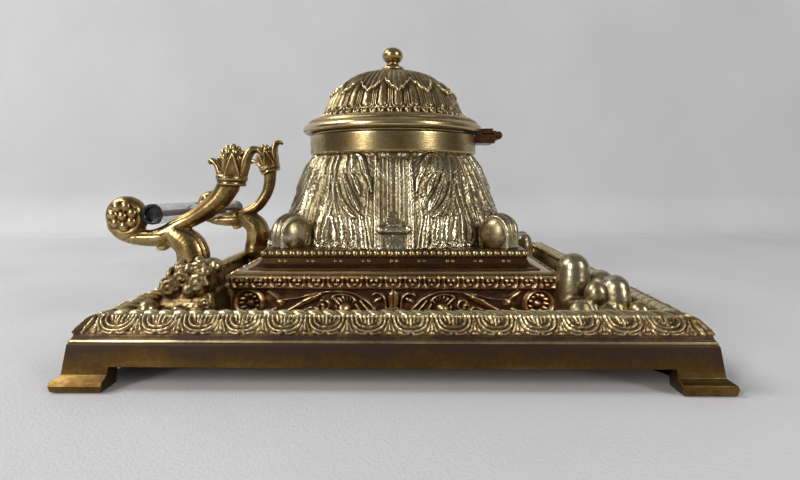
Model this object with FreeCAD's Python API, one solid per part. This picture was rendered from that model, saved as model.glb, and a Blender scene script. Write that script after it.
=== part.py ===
"""Square brass desk inkwell: footed tray, stepped plinth, bell-shaped font with a hinged domed lid,
two cast pen rests and a clear pen lying across them.

Millimetres. +Z is up, -Y is the front (the pen rests), +Y the back (the lid's hinge), X runs left to
right. Everything is drawn about the centre of the square base and moved back by BASE_SHIFT on export,
so that the origin is under the middle of the whole object, on the surface it stands on.
"""
import FreeCAD
import Part
import math
import os

V = FreeCAD.Vector

# ---- driving dimensions -------------------------------------------------------------------------
CLEARANCE = 0.05          # round a screw's shank
BODY_GAP = 0.3            # between pieces on different moving bodies

TOE = 83.6                # half-width over the toes of the feet
BAND = 80.3               # half-width of the plain band's top edge
BAND_TOP = 11.6
BAND_BOTTOM = 5.7
FRAME_INSIDE = 76.5       # half-width inside the band
FOOT_INNER = 69.6         # where each foot starts, measured along its side
FOOT_SLANT = 0.9          # how much narrower each foot is at its toe
LUG_INNER = 61.5          # corner lugs that carry the tray
LUG_BOTTOM = 5.8

FLOOR = 9.8               # top of the tray's floor
FLOOR_BOTTOM = 7.8
LIP = 75.0                # half-width of the rim's lip
LIP_TOP = 17.4
TRAY_INSIDE = 69.5        # half-width of the tray's floor
ROPE_CENTRE = 72.4
ROPE_Z = 16.2
ROPE_R = 1.9

PLINTH = 50.0             # half-width of the frieze
FRIEZE_TOP = 18.8
LEDGE_TOP = 23.7
PLINTH_WALL = 4.5
PLINTH_SWELL = 0.9        # how far the leaf moulding stands out from the frieze
TABLE = 42.3              # half-width of the table's bead edge
TABLE_TOP = 29.5

FONT_Y = -1.5             # the bell, its lid and its screws sit a little forward of the base's centre
FONT_BASE_R = 41.8
FONT_TOP_R = 30.0
FONT_TOP = 60.6
FONT_WALL = 3.0
COLLAR_R = 31.5
COLLAR_TOP = 67.5
POT_SEAT = 64.9           # ledge inside the collar that the ink pot's flange rests on
POT_FLANGE_R = 27.2
POT_R = 24.0
POT_WALL = 2.5
POT_BOTTOM = 31.0

PIN_Y = 39.4              # hinge pin axis, along X, measured from the bell's axis
PIN_Z = 67.7
PIN_R = 0.8
KNUCKLE_R = 1.5
HINGE_HALF = 7.0          # half the hinge's length along X
KNUCKLE_HALF = 2.3        # half the lid's middle knuckle

LID_SEAT_R = 30.0
LID_R = 34.0
LID_BOTTOM = 68.6
LID_BORE = 27.6
LID_CROWN = 92.2
FINIAL_BALL_R = 3.9
FINIAL_BALL_HALF = 3.1    # half-height of the ball, which is a little flattened
FINIAL_TOP = 101.1

REST_X = 36.5             # planes of the two pen rests
SCROLL_Y = -86.95
SCROLL_Z = 39.8
SCROLL_R = 6.65
SCROLL_HALF = 4.0         # half-width of a scroll along X
SCROLL_ROUND = 3.4        # its rim is almost a half circle
ROSETTE_R = 4.2
ROSETTE_HALF = 4.5

PEN_Y = -77.0
PEN_Z = 39.6              # at mid length
PEN_R = 3.3
PEN_NEAR_X = 40.5
PEN_FAR_X = -45.5
PEN_TILT = 1.6            # degrees, near end up, because the two saddles differ a little
PEN_WALL = 0.7

BOSS = 57.0               # corner bosses, from the centre along X and along Y
FRONT_BOSS_HALF = 8.8
BACK_BOSS_HALF = 9.6
CORNER_SCROLL = 34.0      # scrolls on the table's corners
TRAY_FINIAL = 66.4        # small domed finials in the tray's corners
FINIAL_FOOT_R = 2.9
PLINTH_SCREW = 41.5
FONT_SCREW = 24.0
REST_FOOT_Y = -65.3
REST_FOOT_R = 4.0
REST_FOOT_TOP = 19.0

BASE_SHIFT = (SCROLL_R - SCROLL_Y - TOE) / 2      # centres the whole outline on the origin
CORNERS = [("front_right", 1, -1), ("front_left", -1, -1), ("back_right", 1, 1), ("back_left", -1, 1)]


# ---- helpers ------------------------------------------------------------------------------------
def box(x0, x1, y0, y1, z0, z1):
    """Axis-aligned block between two corners."""
    return Part.makeBox(x1 - x0, y1 - y0, z1 - z0, V(x0, y0, z0))


def rod(radius, x, y, z0, z1):
    """Upright cylinder."""
    return Part.makeCylinder(radius, z1 - z0, V(x, y, z0))


def cross_rod(radius, x0, x1, y, z):
    """Cylinder along X."""
    return Part.makeCylinder(radius, x1 - x0, V(x0, y, z), V(1, 0, 0))


def ball(radius, x, y, z):
    return Part.makeSphere(radius, V(x, y, z))


def rounded(cylinder, radius):
    """Round both end edges of a cylinder."""
    return cylinder.makeFillet(radius, [edge for edge in cylinder.Edges if edge.isClosed()])


def fuse(shapes):
    """One solid from overlapping shapes, joined one after the other."""
    whole = shapes[0]
    for shape in shapes[1:]:
        whole = whole.fuse(shape)
    return whole


def stepped_square(levels, x=0.0, y=0.0):
    """Square block whose half-width changes with height; levels are (half-width, z)."""
    wires = []
    for half, z in levels:
        corners = [V(x + sx * half, y + sy * half, z) for sx, sy in ((-1, -1), (1, -1), (1, 1), (-1, 1))]
        wires.append(Part.makePolygon(corners + corners[:1]))
    return Part.makeLoft(wires, True, True)


def line(*points):
    """Straight edges through (r, z) points."""
    at = [V(r, 0, z) for r, z in points]
    return [Part.makeLine(a, b) for a, b in zip(at, at[1:])]


def smooth(*points):
    """One smooth curve through (r, z) points."""
    curve = Part.BSplineCurve()
    curve.interpolate([V(r, 0, z) for r, z in points])
    return [curve.toShape()]


def arc(start, through, end):
    """Circular arc through three (r, z) points."""
    return [Part.Arc(*[V(r, 0, z) for r, z in (start, through, end)]).toShape()]


def turned(*runs):
    """Solid of revolution about +Z from a closed outline of edges in the XZ plane."""
    face = Part.Face(Part.Wire([edge for run in runs for edge in run]))
    return face.revolve(V(0, 0, 0), V(0, 0, 1), 360)


def bar(stations, x=0.0):
    """Round tapering bar in a plane of constant X; stations are (y, z, radius)."""
    wires = []
    for i, (y, z, radius) in enumerate(stations):
        before = stations[max(i - 1, 0)]
        after = stations[min(i + 1, len(stations) - 1)]
        angle = math.degrees(math.atan2(after[1] - before[1], after[0] - before[0]))
        circle = Part.Wire(Part.makeCircle(radius, V(0, 0, 0), V(0, 1, 0)))
        circle.rotate(V(0, 0, 0), V(1, 0, 0), angle)
        circle.translate(V(x, y, z))
        wires.append(circle)
    return Part.makeLoft(wires, True, False)


def screw(x, y, head_r, head_bottom, head_top, shank_r, tip):
    """Pan-head screw driven upwards."""
    head = rod(head_r, x, y, head_bottom, head_top)
    slot = box(x - head_r, x + head_r, y - 0.3, y + 0.3, head_bottom, head_bottom + 0.6)
    return fuse([head, rod(shank_r, x, y, head_top, tip)]).cut(slot)


def screw_hole(x, y, shank_r, bottom, top):
    return rod(shank_r + CLEARANCE, x, y, bottom, top)


def four(distance, y=0.0):
    """The four points at +-distance in X and Y round a centre."""
    return [(sx * distance, y + sy * distance) for sx in (-1, 1) for sy in (-1, 1)]


# ---- screws: one set of positions drives both the screws and their holes --------------------------
# each row: shank radius, z of the tip, head radius, z of the head's underside
TRAY_SHANK, TRAY_TIP, TRAY_HEAD_R, TRAY_HEAD_Z = 1.4, 14.0, 2.8, 4.6
PLINTH_SHANK, PLINTH_TIP, PLINTH_HEAD_R, PLINTH_HEAD_Z = 1.4, 17.0, 2.8, 6.2
BOSS_SHANK, BOSS_TIP, BOSS_HEAD_R, BOSS_HEAD_Z = 1.2, 15.0, 2.4, 6.4
REST_SHANK, REST_TIP, REST_HEAD_R, REST_HEAD_Z = 1.5, 17.0, 2.8, 6.2
FONT_SHANK, FONT_TIP, FONT_HEAD_R, FONT_HEAD_Z = 1.5, 36.0, 3.0, 19.0
REST_FEET = [(-REST_X, REST_FOOT_Y), (REST_X, REST_FOOT_Y)]
PLINTH_TOP_UNDER = 20.7


def screws(points, head_r, head_z, seat, shank_r, tip):
    """A set of equal screws, their heads against the face at the seat's height."""
    return Part.makeCompound([screw(x, y, head_r, head_z, seat, shank_r, tip) for x, y in points])


def tray_screws():
    return screws(four(TRAY_FINIAL), TRAY_HEAD_R, TRAY_HEAD_Z, LUG_BOTTOM, TRAY_SHANK, TRAY_TIP)


def plinth_screws():
    return screws(four(PLINTH_SCREW), PLINTH_HEAD_R, PLINTH_HEAD_Z, FLOOR_BOTTOM, PLINTH_SHANK, PLINTH_TIP)


def boss_screws():
    return screws(four(BOSS), BOSS_HEAD_R, BOSS_HEAD_Z, FLOOR_BOTTOM, BOSS_SHANK, BOSS_TIP)


def rest_screws():
    return screws(REST_FEET, REST_HEAD_R, REST_HEAD_Z, FLOOR_BOTTOM, REST_SHANK, REST_TIP)


def font_screws():
    points = four(FONT_SCREW, FONT_Y)
    return screws(points, FONT_HEAD_R, FONT_HEAD_Z, PLINTH_TOP_UNDER, FONT_SHANK, FONT_TIP)


# ---- base ---------------------------------------------------------------------------------------
# half-width and z up the outside of the feet and the band
FOOT_OUTLINE = [(TOE - 0.3, 0), (TOE, 1.6), (TOE - 0.3, 2.5), (TOE - 1.2, 3.0), (BAND + 1.2, 3.7),
                (BAND, BAND_TOP - 0.6), (BAND - 0.4, BAND_TOP)]
# half-width and z up the tray's moulded border
TRAY_OUTLINE = [(80.0, BAND_TOP), (80.0, 12.1), (79.3, 13.1), (78.2, 14.9), (76.6, 16.6), (LIP, LIP_TOP)]


def foot_frame():
    """Plain band with four bracket feet and a lug inside each corner."""
    frame = stepped_square(FOOT_OUTLINE)
    frame = frame.cut(box(-FRAME_INSIDE, FRAME_INSIDE, -FRAME_INSIDE, FRAME_INSIDE, 0, BAND_TOP))
    toe_end = FOOT_INNER + FOOT_SLANT
    gap = [(-toe_end, -1), (-toe_end, 0), (-FOOT_INNER, BAND_BOTTOM), (FOOT_INNER, BAND_BOTTOM), (toe_end, 0),
           (toe_end, -1)]
    corners = [V(along, -TOE, z) for along, z in gap]
    opening = Part.Face(Part.makePolygon(corners + corners[:1])).extrude(V(0, 2 * TOE, 0))
    across = opening.copy()
    across.rotate(V(0, 0, 0), V(0, 0, 1), 90)
    frame = frame.cut(opening).cut(across)
    lugs = []
    for _, sx, sy in CORNERS:
        xs = sorted((sx * LUG_INNER, sx * FRAME_INSIDE))
        ys = sorted((sy * LUG_INNER, sy * FRAME_INSIDE))
        lugs.append(box(xs[0], xs[1], ys[0], ys[1], LUG_BOTTOM, FLOOR_BOTTOM))
    frame = fuse([frame] + lugs)
    for x, y in four(TRAY_FINIAL):
        frame = frame.cut(screw_hole(x, y, TRAY_SHANK, LUG_BOTTOM, FLOOR_BOTTOM))
    return frame


def tray():
    """Moulded border with a rope on its inner edge, and the floor inside it."""
    border = stepped_square(TRAY_OUTLINE)
    border = border.cut(stepped_square([(TRAY_INSIDE, FLOOR), (ROPE_CENTRE - 1.2, LIP_TOP)]))
    rope = []
    for turn in (0, 90, 180, 270):
        side = cross_rod(ROPE_R, -ROPE_CENTRE, ROPE_CENTRE, ROPE_CENTRE, ROPE_Z)
        side.rotate(V(0, 0, 0), V(0, 0, 1), turn)
        rope.append(side)
    rope += [ball(ROPE_R, x, y, ROPE_Z) for x, y in four(ROPE_CENTRE)]
    drop = box(-FRAME_INSIDE + CLEARANCE, FRAME_INSIDE - CLEARANCE, -FRAME_INSIDE + CLEARANCE,
               FRAME_INSIDE - CLEARANCE, FLOOR_BOTTOM, FLOOR)
    foot = stepped_square([(FRAME_INSIDE - CLEARANCE, FLOOR), (FRAME_INSIDE - CLEARANCE, BAND_TOP)])
    foot = foot.cut(stepped_square([(TRAY_INSIDE, FLOOR), (TRAY_INSIDE + 0.5, BAND_TOP)]))
    body = fuse([border, drop, foot] + rope)
    holes = [(four(TRAY_FINIAL), TRAY_SHANK), (four(PLINTH_SCREW), PLINTH_SHANK),
             (four(BOSS), BOSS_SHANK), (REST_FEET, REST_SHANK)]
    for points, shank in holes:
        for x, y in points:
            body = body.cut(screw_hole(x, y, shank, FLOOR_BOTTOM, FLOOR))
    return body


def tray_finials():
    """Four small domed finials that the tray screws pull down onto the tray's corners."""
    dome_r, dome_z, neck_r, neck_z = 2.8, 16.4, 2.1, 14.0
    top = dome_z + dome_r
    shoulder = (dome_r * math.cos(math.pi / 4), dome_z + dome_r * math.sin(math.pi / 4))
    shape = turned(line((0, FLOOR), (FINIAL_FOOT_R, FLOOR), (FINIAL_FOOT_R, FLOOR + 1.2),
                        (neck_r, FLOOR + 1.8), (neck_r, neck_z), (dome_r, dome_z)),
                   arc((dome_r, dome_z), shoulder, (0, top)),
                   line((0, top), (0, FLOOR)))
    shape = shape.cut(screw_hole(0, 0, TRAY_SHANK, FLOOR, TRAY_TIP + CLEARANCE))
    return Part.makeCompound([shape.translated(V(x, y, 0)) for x, y in four(TRAY_FINIAL)])


def capsule(radius, start, end):
    """Cylinder with round ends between two points."""
    axis = V(*end) - V(*start)
    body = Part.makeCylinder(radius, axis.Length, V(*start), axis)
    return fuse([ball(radius, *start), body, ball(radius, *end)])


# each lump of a corner boss: radius, x and y from the boss's centre, z where it starts, z of its round top
FRONT_LUMPS = [(4.6, 3.6, 3.6, 16.0, 24.6), (4.3, -4.0, 3.4, 15.0, 23.4), (4.4, 3.4, -4.0, 15.5, 23.6),
               (4.2, -3.4, -3.8, 14.5, 21.4), (3.4, 0.2, -0.1, 16.5, 24.4)]
BACK_LUMPS = [(4.6, 4.4, 4.4, 16.0, 25.7), (4.1, 4.6, -4.6, 15.0, 21.0), (4.1, -4.6, 4.6, 15.0, 21.0),
              (3.4, -2.6, -2.6, 15.0, 21.0), (3.0, -5.0, -5.0, 13.0, 15.5)]


def corner_boss(sx, sy):
    """Cast foliate boss; the front pair is curly, the back pair has tall smooth lobes."""
    half = FRONT_BOSS_HALF if sy < 0 else BACK_BOSS_HALF
    base = stepped_square([(half, FLOOR), (half - 0.3, 14.5), (half - 1.6, 18.5)])
    table = FRONT_LUMPS if sy < 0 else BACK_LUMPS
    lumps = [capsule(radius, (x, y, start), (x, y, end)) for radius, x, y, start, end in table]
    body = fuse([base] + lumps)
    body = body.cut(screw_hole(0, 0, BOSS_SHANK, FLOOR, BOSS_TIP + CLEARANCE))
    turn = {(1, 1): 180, (-1, 1): 270, (-1, -1): 0, (1, -1): 90}[(sx, sy)]
    body.rotate(V(0, 0, 0), V(0, 0, 1), turn)
    body = body.translated(V(sx * BOSS, sy * BOSS, 0))
    beside = PLINTH + PLINTH_SWELL + CLEARANCE
    body = body.cut(box(-beside, beside, -beside, beside, FLOOR, LEDGE_TOP))
    return body.cut(rod(FINIAL_FOOT_R + CLEARANCE, sx * TRAY_FINIAL, sy * TRAY_FINIAL, FLOOR, LEDGE_TOP))


# ---- plinth and table -----------------------------------------------------------------------------
# half-width and z up the plinth and up the table
PLINTH_OUTLINE = [(PLINTH, FLOOR), (PLINTH, FRIEZE_TOP), (PLINTH + 0.7, FRIEZE_TOP + 0.3),
                  (PLINTH + PLINTH_SWELL, 21.8), (PLINTH, 22.2), (PLINTH - 0.6, 23.2), (48.0, LEDGE_TOP)]
TABLE_OUTLINE = [(45.4, LEDGE_TOP), (45.2, 24.0), (44.0, 24.3), (42.3, 25.6), (41.6, 27.2), (TABLE, 27.5),
                 (TABLE, 29.2), (TABLE - 0.3, TABLE_TOP)]
POST = 4.2                # half-width of the block round each plinth screw


def plinth():
    """Hollow square block: frieze, leaf moulding and plain ledge, with a post for each screw."""
    block = stepped_square(PLINTH_OUTLINE)
    inside = PLINTH - PLINTH_WALL
    hollow = box(-inside, inside, -inside, inside, FLOOR, PLINTH_TOP_UNDER)
    for x, y in four(PLINTH_SCREW):
        hollow = hollow.cut(box(x - POST, x + POST, y - POST, y + POST, FLOOR, PLINTH_TOP_UNDER))
    block = block.cut(hollow)
    for x, y in four(PLINTH_SCREW):
        block = block.cut(screw_hole(x, y, PLINTH_SHANK, FLOOR, PLINTH_TIP + CLEARANCE))
    for x, y in four(FONT_SCREW, FONT_Y):
        block = block.cut(screw_hole(x, y, FONT_SHANK, PLINTH_TOP_UNDER, LEDGE_TOP))
    return block


def plinth_cap():
    """Table with a cove below and a bead edge, hollow underneath."""
    cap = stepped_square(TABLE_OUTLINE)
    hollow_half, hollow_top = 36.0, 26.5
    cap = cap.cut(box(-hollow_half, hollow_half, -hollow_half, hollow_half, LEDGE_TOP, hollow_top))
    for x, y in four(FONT_SCREW, FONT_Y):
        cap = cap.cut(screw_hole(x, y, FONT_SHANK, hollow_top, TABLE_TOP))
    return cap


def corner_scroll(sx, sy):
    """Reeded scroll across a table corner, with a round boss on each cheek and a foot below."""
    centre_z, radius, half = 34.3, 6.0, 3.4
    cheek_r, cheek_x, cheek_y, cheek_z = 5.0, 1.6, -0.6, 33.9
    tread = rounded(cross_rod(radius, -half, half, 0, centre_z), 1.0)
    cheeks = [ball(cheek_r, x, cheek_y, cheek_z) for x in (-cheek_x, cheek_x)]
    foot = box(-half, half, -radius, radius, TABLE_TOP, centre_z)
    body = fuse([tread, foot] + cheeks)
    reach = 2 * radius
    body = body.common(box(-reach, reach, -reach, reach, TABLE_TOP, TABLE_TOP + 2 * reach))
    body.rotate(V(0, 0, 0), V(0, 0, 1), 45 if sx * sy < 0 else -45)
    body = body.translated(V(sx * CORNER_SCROLL, sy * CORNER_SCROLL, 0))
    return body.cut(font_envelope().translated(V(0, FONT_Y, 0)))


# ---- font, collar and ink pot ---------------------------------------------------------------------
FONT_PROFILE = [(FONT_BASE_R, TABLE_TOP), (40.1, 37.8), (37.8, 43.8), (35.7, 49.4), (FONT_TOP_R, FONT_TOP)]


def font_envelope():
    """Solid bell with the font's outer shape."""
    return turned(smooth(*FONT_PROFILE),
                  line((FONT_TOP_R, FONT_TOP), (0, FONT_TOP), (0, TABLE_TOP), (FONT_BASE_R, TABLE_TOP)))


def font_body():
    """Bell-shaped casting, open at both ends, with a lug for each fixing screw."""
    inner = [(r - FONT_WALL, z) for r, z in FONT_PROFILE]
    core = turned(smooth(*inner), line(inner[-1], (0, FONT_TOP), (0, TABLE_TOP), inner[0]))
    shell = font_envelope().cut(core)
    lug_r, lug_top, lug_at = 4.6, FONT_TIP + 1.5, FONT_SCREW * 1.06
    lugs = [rod(lug_r, x, y, TABLE_TOP, lug_top).common(core) for x, y in four(lug_at)]
    body = fuse([shell] + lugs)
    for x, y in four(FONT_SCREW):
        body = body.cut(screw_hole(x, y, FONT_SHANK, TABLE_TOP, FONT_TIP + CLEARANCE))
    return body


def font_collar():
    """Plain neck ring with a ledge inside for the ink pot's flange."""
    seat_bore = POT_R + 0.4
    flange_bore = POT_FLANGE_R + 0.3
    return turned(line((seat_bore, FONT_TOP), (COLLAR_R - 0.4, FONT_TOP), (COLLAR_R, FONT_TOP + 0.4),
                       (COLLAR_R, COLLAR_TOP), (flange_bore, COLLAR_TOP), (flange_bore, POT_SEAT),
                       (seat_bore, POT_SEAT), (seat_bore, FONT_TOP)))


def ink_pot():
    """Lift-out liner: flanged cup with a rounded bottom."""
    top = POT_SEAT + 2.0
    bore = POT_R - POT_WALL
    return turned(line((0, POT_BOTTOM), (POT_R - 4, POT_BOTTOM)),
                  arc((POT_R - 4, POT_BOTTOM), (POT_R - 1.2, POT_BOTTOM + 1.2), (POT_R, POT_BOTTOM + 4)),
                  line((POT_R, POT_BOTTOM + 4), (POT_R, POT_SEAT), (POT_FLANGE_R, POT_SEAT),
                       (POT_FLANGE_R, top), (bore, top), (bore, POT_BOTTOM + 6)),
                  arc((bore, POT_BOTTOM + 6), (bore - 1.0, POT_BOTTOM + 3.9), (bore - 3.4, POT_BOTTOM + 3)),
                  line((bore - 3.4, POT_BOTTOM + 3), (0, POT_BOTTOM + 3), (0, POT_BOTTOM)))


# ---- hinge ----------------------------------------------------------------------------------------
LEAF_START = 25.0         # the leaves reach this far in before the ring or the flange trims them
LEAF_END = PIN_Y - 2.0
LOWER_LEAF_BOTTOM = PIN_Z - 2.8
LOWER_LEAF_TOP = PIN_Z + 0.4
UPPER_LEAF_THICK = 1.6


def hinge_leaf_lower():
    """Leaf fixed to the collar, with the two outer knuckles."""
    plate = box(-HINGE_HALF, HINGE_HALF, LEAF_START, LEAF_END, LOWER_LEAF_BOTTOM, LOWER_LEAF_TOP)
    inner_x = KNUCKLE_HALF + BODY_GAP
    pieces = [plate]
    for x0, x1 in ((-HINGE_HALF, -inner_x), (inner_x, HINGE_HALF)):
        pieces.append(box(x0, x1, LEAF_END - 0.5, PIN_Y, PIN_Z - KNUCKLE_R, LOWER_LEAF_TOP))
        pieces.append(box(x0, x1, LEAF_END - 0.5, PIN_Y - 1.2, LOWER_LEAF_BOTTOM, LOWER_LEAF_TOP))
        pieces.append(cross_rod(KNUCKLE_R, x0, x1, PIN_Y, PIN_Z))
    leaf = fuse(pieces).cut(rod(COLLAR_R, 0, 0, 0, COLLAR_TOP + LID_R))
    return leaf.cut(cross_rod(PIN_R + 0.02, -HINGE_HALF, HINGE_HALF, PIN_Y, PIN_Z))


def hinge_pin():
    end = HINGE_HALF + 0.4
    return cross_rod(PIN_R, -end, end, PIN_Y, PIN_Z)


def hinge_leaf_upper():
    """Leaf fixed to the lid's flange, with the middle knuckle."""
    top = LID_BOTTOM + UPPER_LEAF_THICK
    plate = box(-HINGE_HALF, HINGE_HALF, LEAF_START, LEAF_END, LID_BOTTOM, top)
    tongue = box(-KNUCKLE_HALF, KNUCKLE_HALF, LEAF_END - 1.0, PIN_Y, LID_BOTTOM, top - 0.4)
    knuckle = cross_rod(KNUCKLE_R, -KNUCKLE_HALF, KNUCKLE_HALF, PIN_Y, PIN_Z)
    leaf = fuse([plate, tongue, knuckle]).cut(rod(LID_R, 0, 0, 0, LID_BOTTOM + LID_R))
    return leaf.cut(cross_rod(PIN_R + CLEARANCE, -HINGE_HALF, HINGE_HALF, PIN_Y, PIN_Z))


# ---- lid ------------------------------------------------------------------------------------------
FINIAL_SHANK = 1.5
FINIAL_TIP = 86.4         # lower end of the finial's shank, inside the lid
LID_INNER_TOP = 89.6
FLANGE_ROLL = [(LID_R, LID_BOTTOM + 1.8), (33.2, 71.4), (31.9, 72.5)]
STEP_ROLL = [(31.4, 73.3), (30.4, 74.6), (28.9, 75.4)]
DOME_OUTSIDE = [(27.4, 75.9), (25.3, 77.6), (22.4, 82.8), (15.3, 88.9), (8.0, 91.8), (0, LID_CROWN)]
DOME_INSIDE = [(0, LID_INNER_TOP), (7.6, 89.1), (13.8, 86.6), (20.2, 81.2), (24.0, 75.2), (LID_BORE, 71.5)]


def lid_shell():
    """Domed lid: seat ring, rolled flange, two steps and a dome, hollow inside."""
    seat = COLLAR_TOP + BODY_GAP
    shell = turned(
        line((LID_BORE, seat), (LID_SEAT_R, seat), (LID_SEAT_R, LID_BOTTOM), (LID_R, LID_BOTTOM),
             FLANGE_ROLL[0]),
        arc(*FLANGE_ROLL), line(FLANGE_ROLL[-1], STEP_ROLL[0]),
        arc(*STEP_ROLL), line(STEP_ROLL[-1], DOME_OUTSIDE[0]),
        smooth(*DOME_OUTSIDE), line(DOME_OUTSIDE[-1], DOME_INSIDE[0]),
        smooth(*DOME_INSIDE), line(DOME_INSIDE[-1], (LID_BORE, seat)))
    return shell.cut(rod(FINIAL_SHANK + CLEARANCE, 0, 0, LID_INNER_TOP - 2, LID_CROWN + 2))


def lid_finial():
    """Ball finial with a collar and a threaded shank through the crown."""
    centre = FINIAL_TOP - FINIAL_BALL_HALF
    turns = [math.radians(degrees) for degrees in (-50, -25, 0, 25, 50, 72, 90)]
    bulge = [(FINIAL_BALL_R * math.cos(turn), centre + FINIAL_BALL_HALF * math.sin(turn)) for turn in turns]
    bulge[-1] = (0, FINIAL_TOP)
    rim = [(4.0, LID_CROWN), (4.3, LID_CROWN + 0.6), (3.6, LID_CROWN + 1.2)]
    neck = (2.3, LID_CROWN + 2.0)
    return turned(line((0, FINIAL_TIP), (FINIAL_SHANK, FINIAL_TIP), (FINIAL_SHANK, LID_CROWN), rim[0]),
                  arc(*rim), smooth(rim[-1], neck, bulge[0]), smooth(*bulge),
                  line((0, FINIAL_TOP), (0, FINIAL_TIP)))


def lid_finial_nut():
    """Square nut on the finial's shank, under the crown."""
    half, bottom, top = 3.2, FINIAL_TIP + 0.6, LID_INNER_TOP - 0.5
    nut = box(-half, half, -half, half, bottom, top)
    return nut.cut(rod(FINIAL_SHANK + CLEARANCE, 0, 0, bottom, top))


# ---- pen rests ------------------------------------------------------------------------------------
# saddle, horns and leg: y, z and radius along each
SADDLE = [(-90.2, 36.2, 1.8), (-86.6, 34.3, 2.2), (-82.2, 33.4, 2.4), (-78.0, 33.7, 2.3), (-73.6, 35.4, 2.3)]
HORN_RIGHT = [(-69.4, 37.6, 2.4), (-65.1, 39.3, 2.7), (-60.6, 41.9, 3.1), (-56.4, 45.4, 3.4),
              (-53.3, 49.6, 3.6)]
HORN_LEFT = [(-69.6, 36.9, 2.4), (-65.2, 39.8, 2.6), (-61.5, 44.8, 2.6), (-59.9, 49.4, 2.8),
             (-59.4, 54.4, 3.2)]
LEG = [(-73.2, 35.2, 1.9), (-70.6, 33.4, 3.9), (-67.4, 30.6, 4.9), (-66.3, 27.0, 5.2), (-66.9, 23.0, 4.8),
       (-67.2, 20.8, 4.9), (-67.2, 18.6, 5.4)]
CUP_RIGHT, LEAN_RIGHT = (-52.3, 51.3), -8      # y and z of the cup's ring, and its lean in degrees
CUP_LEFT, LEAN_LEFT = (-59.4, 56.2), 17
FRONT_LEAF = [(-2.8, 2.2, 1.5), (-5.0, 4.4, 1.2), (-6.9, 4.9, 0.9)]
BACK_LEAF = [(3.0, 2.6, 1.8), (4.3, 7.2, 1.6), (5.3, 11.0, 1.3), (7.0, 12.1, 1.1), (8.3, 10.6, 0.9)]


def flower_cup():
    """Ring, calyx, seed cluster and two curling leaves, drawn upright about the ring's centre."""
    ring = rounded(rod(4.7, 0, 0, -1.8, 1.8), 0.8)
    calyx = Part.makeCone(3.7, 4.9, 6.2, V(0, 0, 0.6))
    seeds = ball(4.4, 0, -0.5, 8.0)
    return fuse([ring, calyx, seeds, bar(FRONT_LEAF), bar(BACK_LEAF)])


def pen_bracket(side, horn, ring_centre, lean):
    """Cast pen rest: scroll, saddle, horn with a flower cup, and a leg on a round foot."""
    scroll = rounded(cross_rod(SCROLL_R, -SCROLL_HALF, SCROLL_HALF, SCROLL_Y, SCROLL_Z), SCROLL_ROUND)
    rosette = rounded(cross_rod(ROSETTE_R, -ROSETTE_HALF, ROSETTE_HALF, SCROLL_Y, SCROLL_Z), 0.8)
    foot = rod(REST_FOOT_R, 0, REST_FOOT_Y, FLOOR, REST_FOOT_TOP)
    cup = flower_cup()
    cup.rotate(V(0, 0, 0), V(1, 0, 0), lean)
    cup = cup.translated(V(0, ring_centre[0], ring_centre[1]))
    body = fuse([scroll, rosette, bar(LEG), foot, bar(SADDLE + horn), cup])
    body = body.cut(screw_hole(0, REST_FOOT_Y, REST_SHANK, FLOOR, REST_TIP + CLEARANCE))
    body = body.translated(V(side * REST_X, 0, 0))
    return body.cut(laid(cross_rod(PEN_R + BODY_GAP, PEN_FAR_X, PEN_NEAR_X + PEN_R, PEN_Y, PEN_Z)))


# ---- pen ------------------------------------------------------------------------------------------
PEN_SEAM_X = 8.0
PEN_RING_HALF = 0.5
PEN_PLUG = 0.8            # thickness of the end plug's head
PLUG_SPIGOT = 1.2
TIP_SPIGOT = 4.0
PEN_TIP_START = PEN_FAR_X + 6.0
PEN_POINT_R = 1.2
REFILL_R = 1.05


def laid(shape):
    """Tilt a piece of the pen with the pen."""
    shape.rotate(V(0, PEN_Y, PEN_Z), V(0, 1, 0), -PEN_TILT)
    return shape


def tube(x0, x1):
    outer = cross_rod(PEN_R, x0, x1, PEN_Y, PEN_Z)
    return outer.cut(cross_rod(PEN_R - PEN_WALL, x0, x1, PEN_Y, PEN_Z))


def pen_barrel():
    return laid(tube(PEN_TIP_START, PEN_SEAM_X - PEN_RING_HALF))


def pen_cap():
    return laid(tube(PEN_SEAM_X + PEN_RING_HALF, PEN_NEAR_X - PEN_PLUG))


def pen_seam_ring():
    return laid(tube(PEN_SEAM_X - PEN_RING_HALF, PEN_SEAM_X + PEN_RING_HALF))


def pen_end_plug():
    head = rounded(cross_rod(PEN_R, PEN_NEAR_X - PEN_PLUG, PEN_NEAR_X, PEN_Y, PEN_Z), 0.3)
    spigot = cross_rod(PEN_R - PEN_WALL, PEN_NEAR_X - PEN_PLUG - PLUG_SPIGOT, PEN_NEAR_X - PEN_PLUG,
                       PEN_Y, PEN_Z)
    return laid(fuse([head, spigot]))


def pen_tip():
    """Cone with a spigot inside the barrel and a socket for the refill."""
    length = PEN_TIP_START - PEN_FAR_X
    cone = Part.makeCone(PEN_POINT_R, PEN_R, length, V(PEN_FAR_X, PEN_Y, PEN_Z), V(1, 0, 0))
    spigot = cross_rod(PEN_R - PEN_WALL, PEN_TIP_START, PEN_TIP_START + TIP_SPIGOT, PEN_Y, PEN_Z)
    socket = cross_rod(REFILL_R + CLEARANCE, PEN_TIP_START, PEN_TIP_START + TIP_SPIGOT, PEN_Y, PEN_Z)
    return laid(fuse([cone, spigot]).cut(socket))


def pen_refill():
    return laid(cross_rod(REFILL_R, PEN_TIP_START, PEN_NEAR_X - PEN_PLUG - PLUG_SPIGOT, PEN_Y, PEN_Z))


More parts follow.
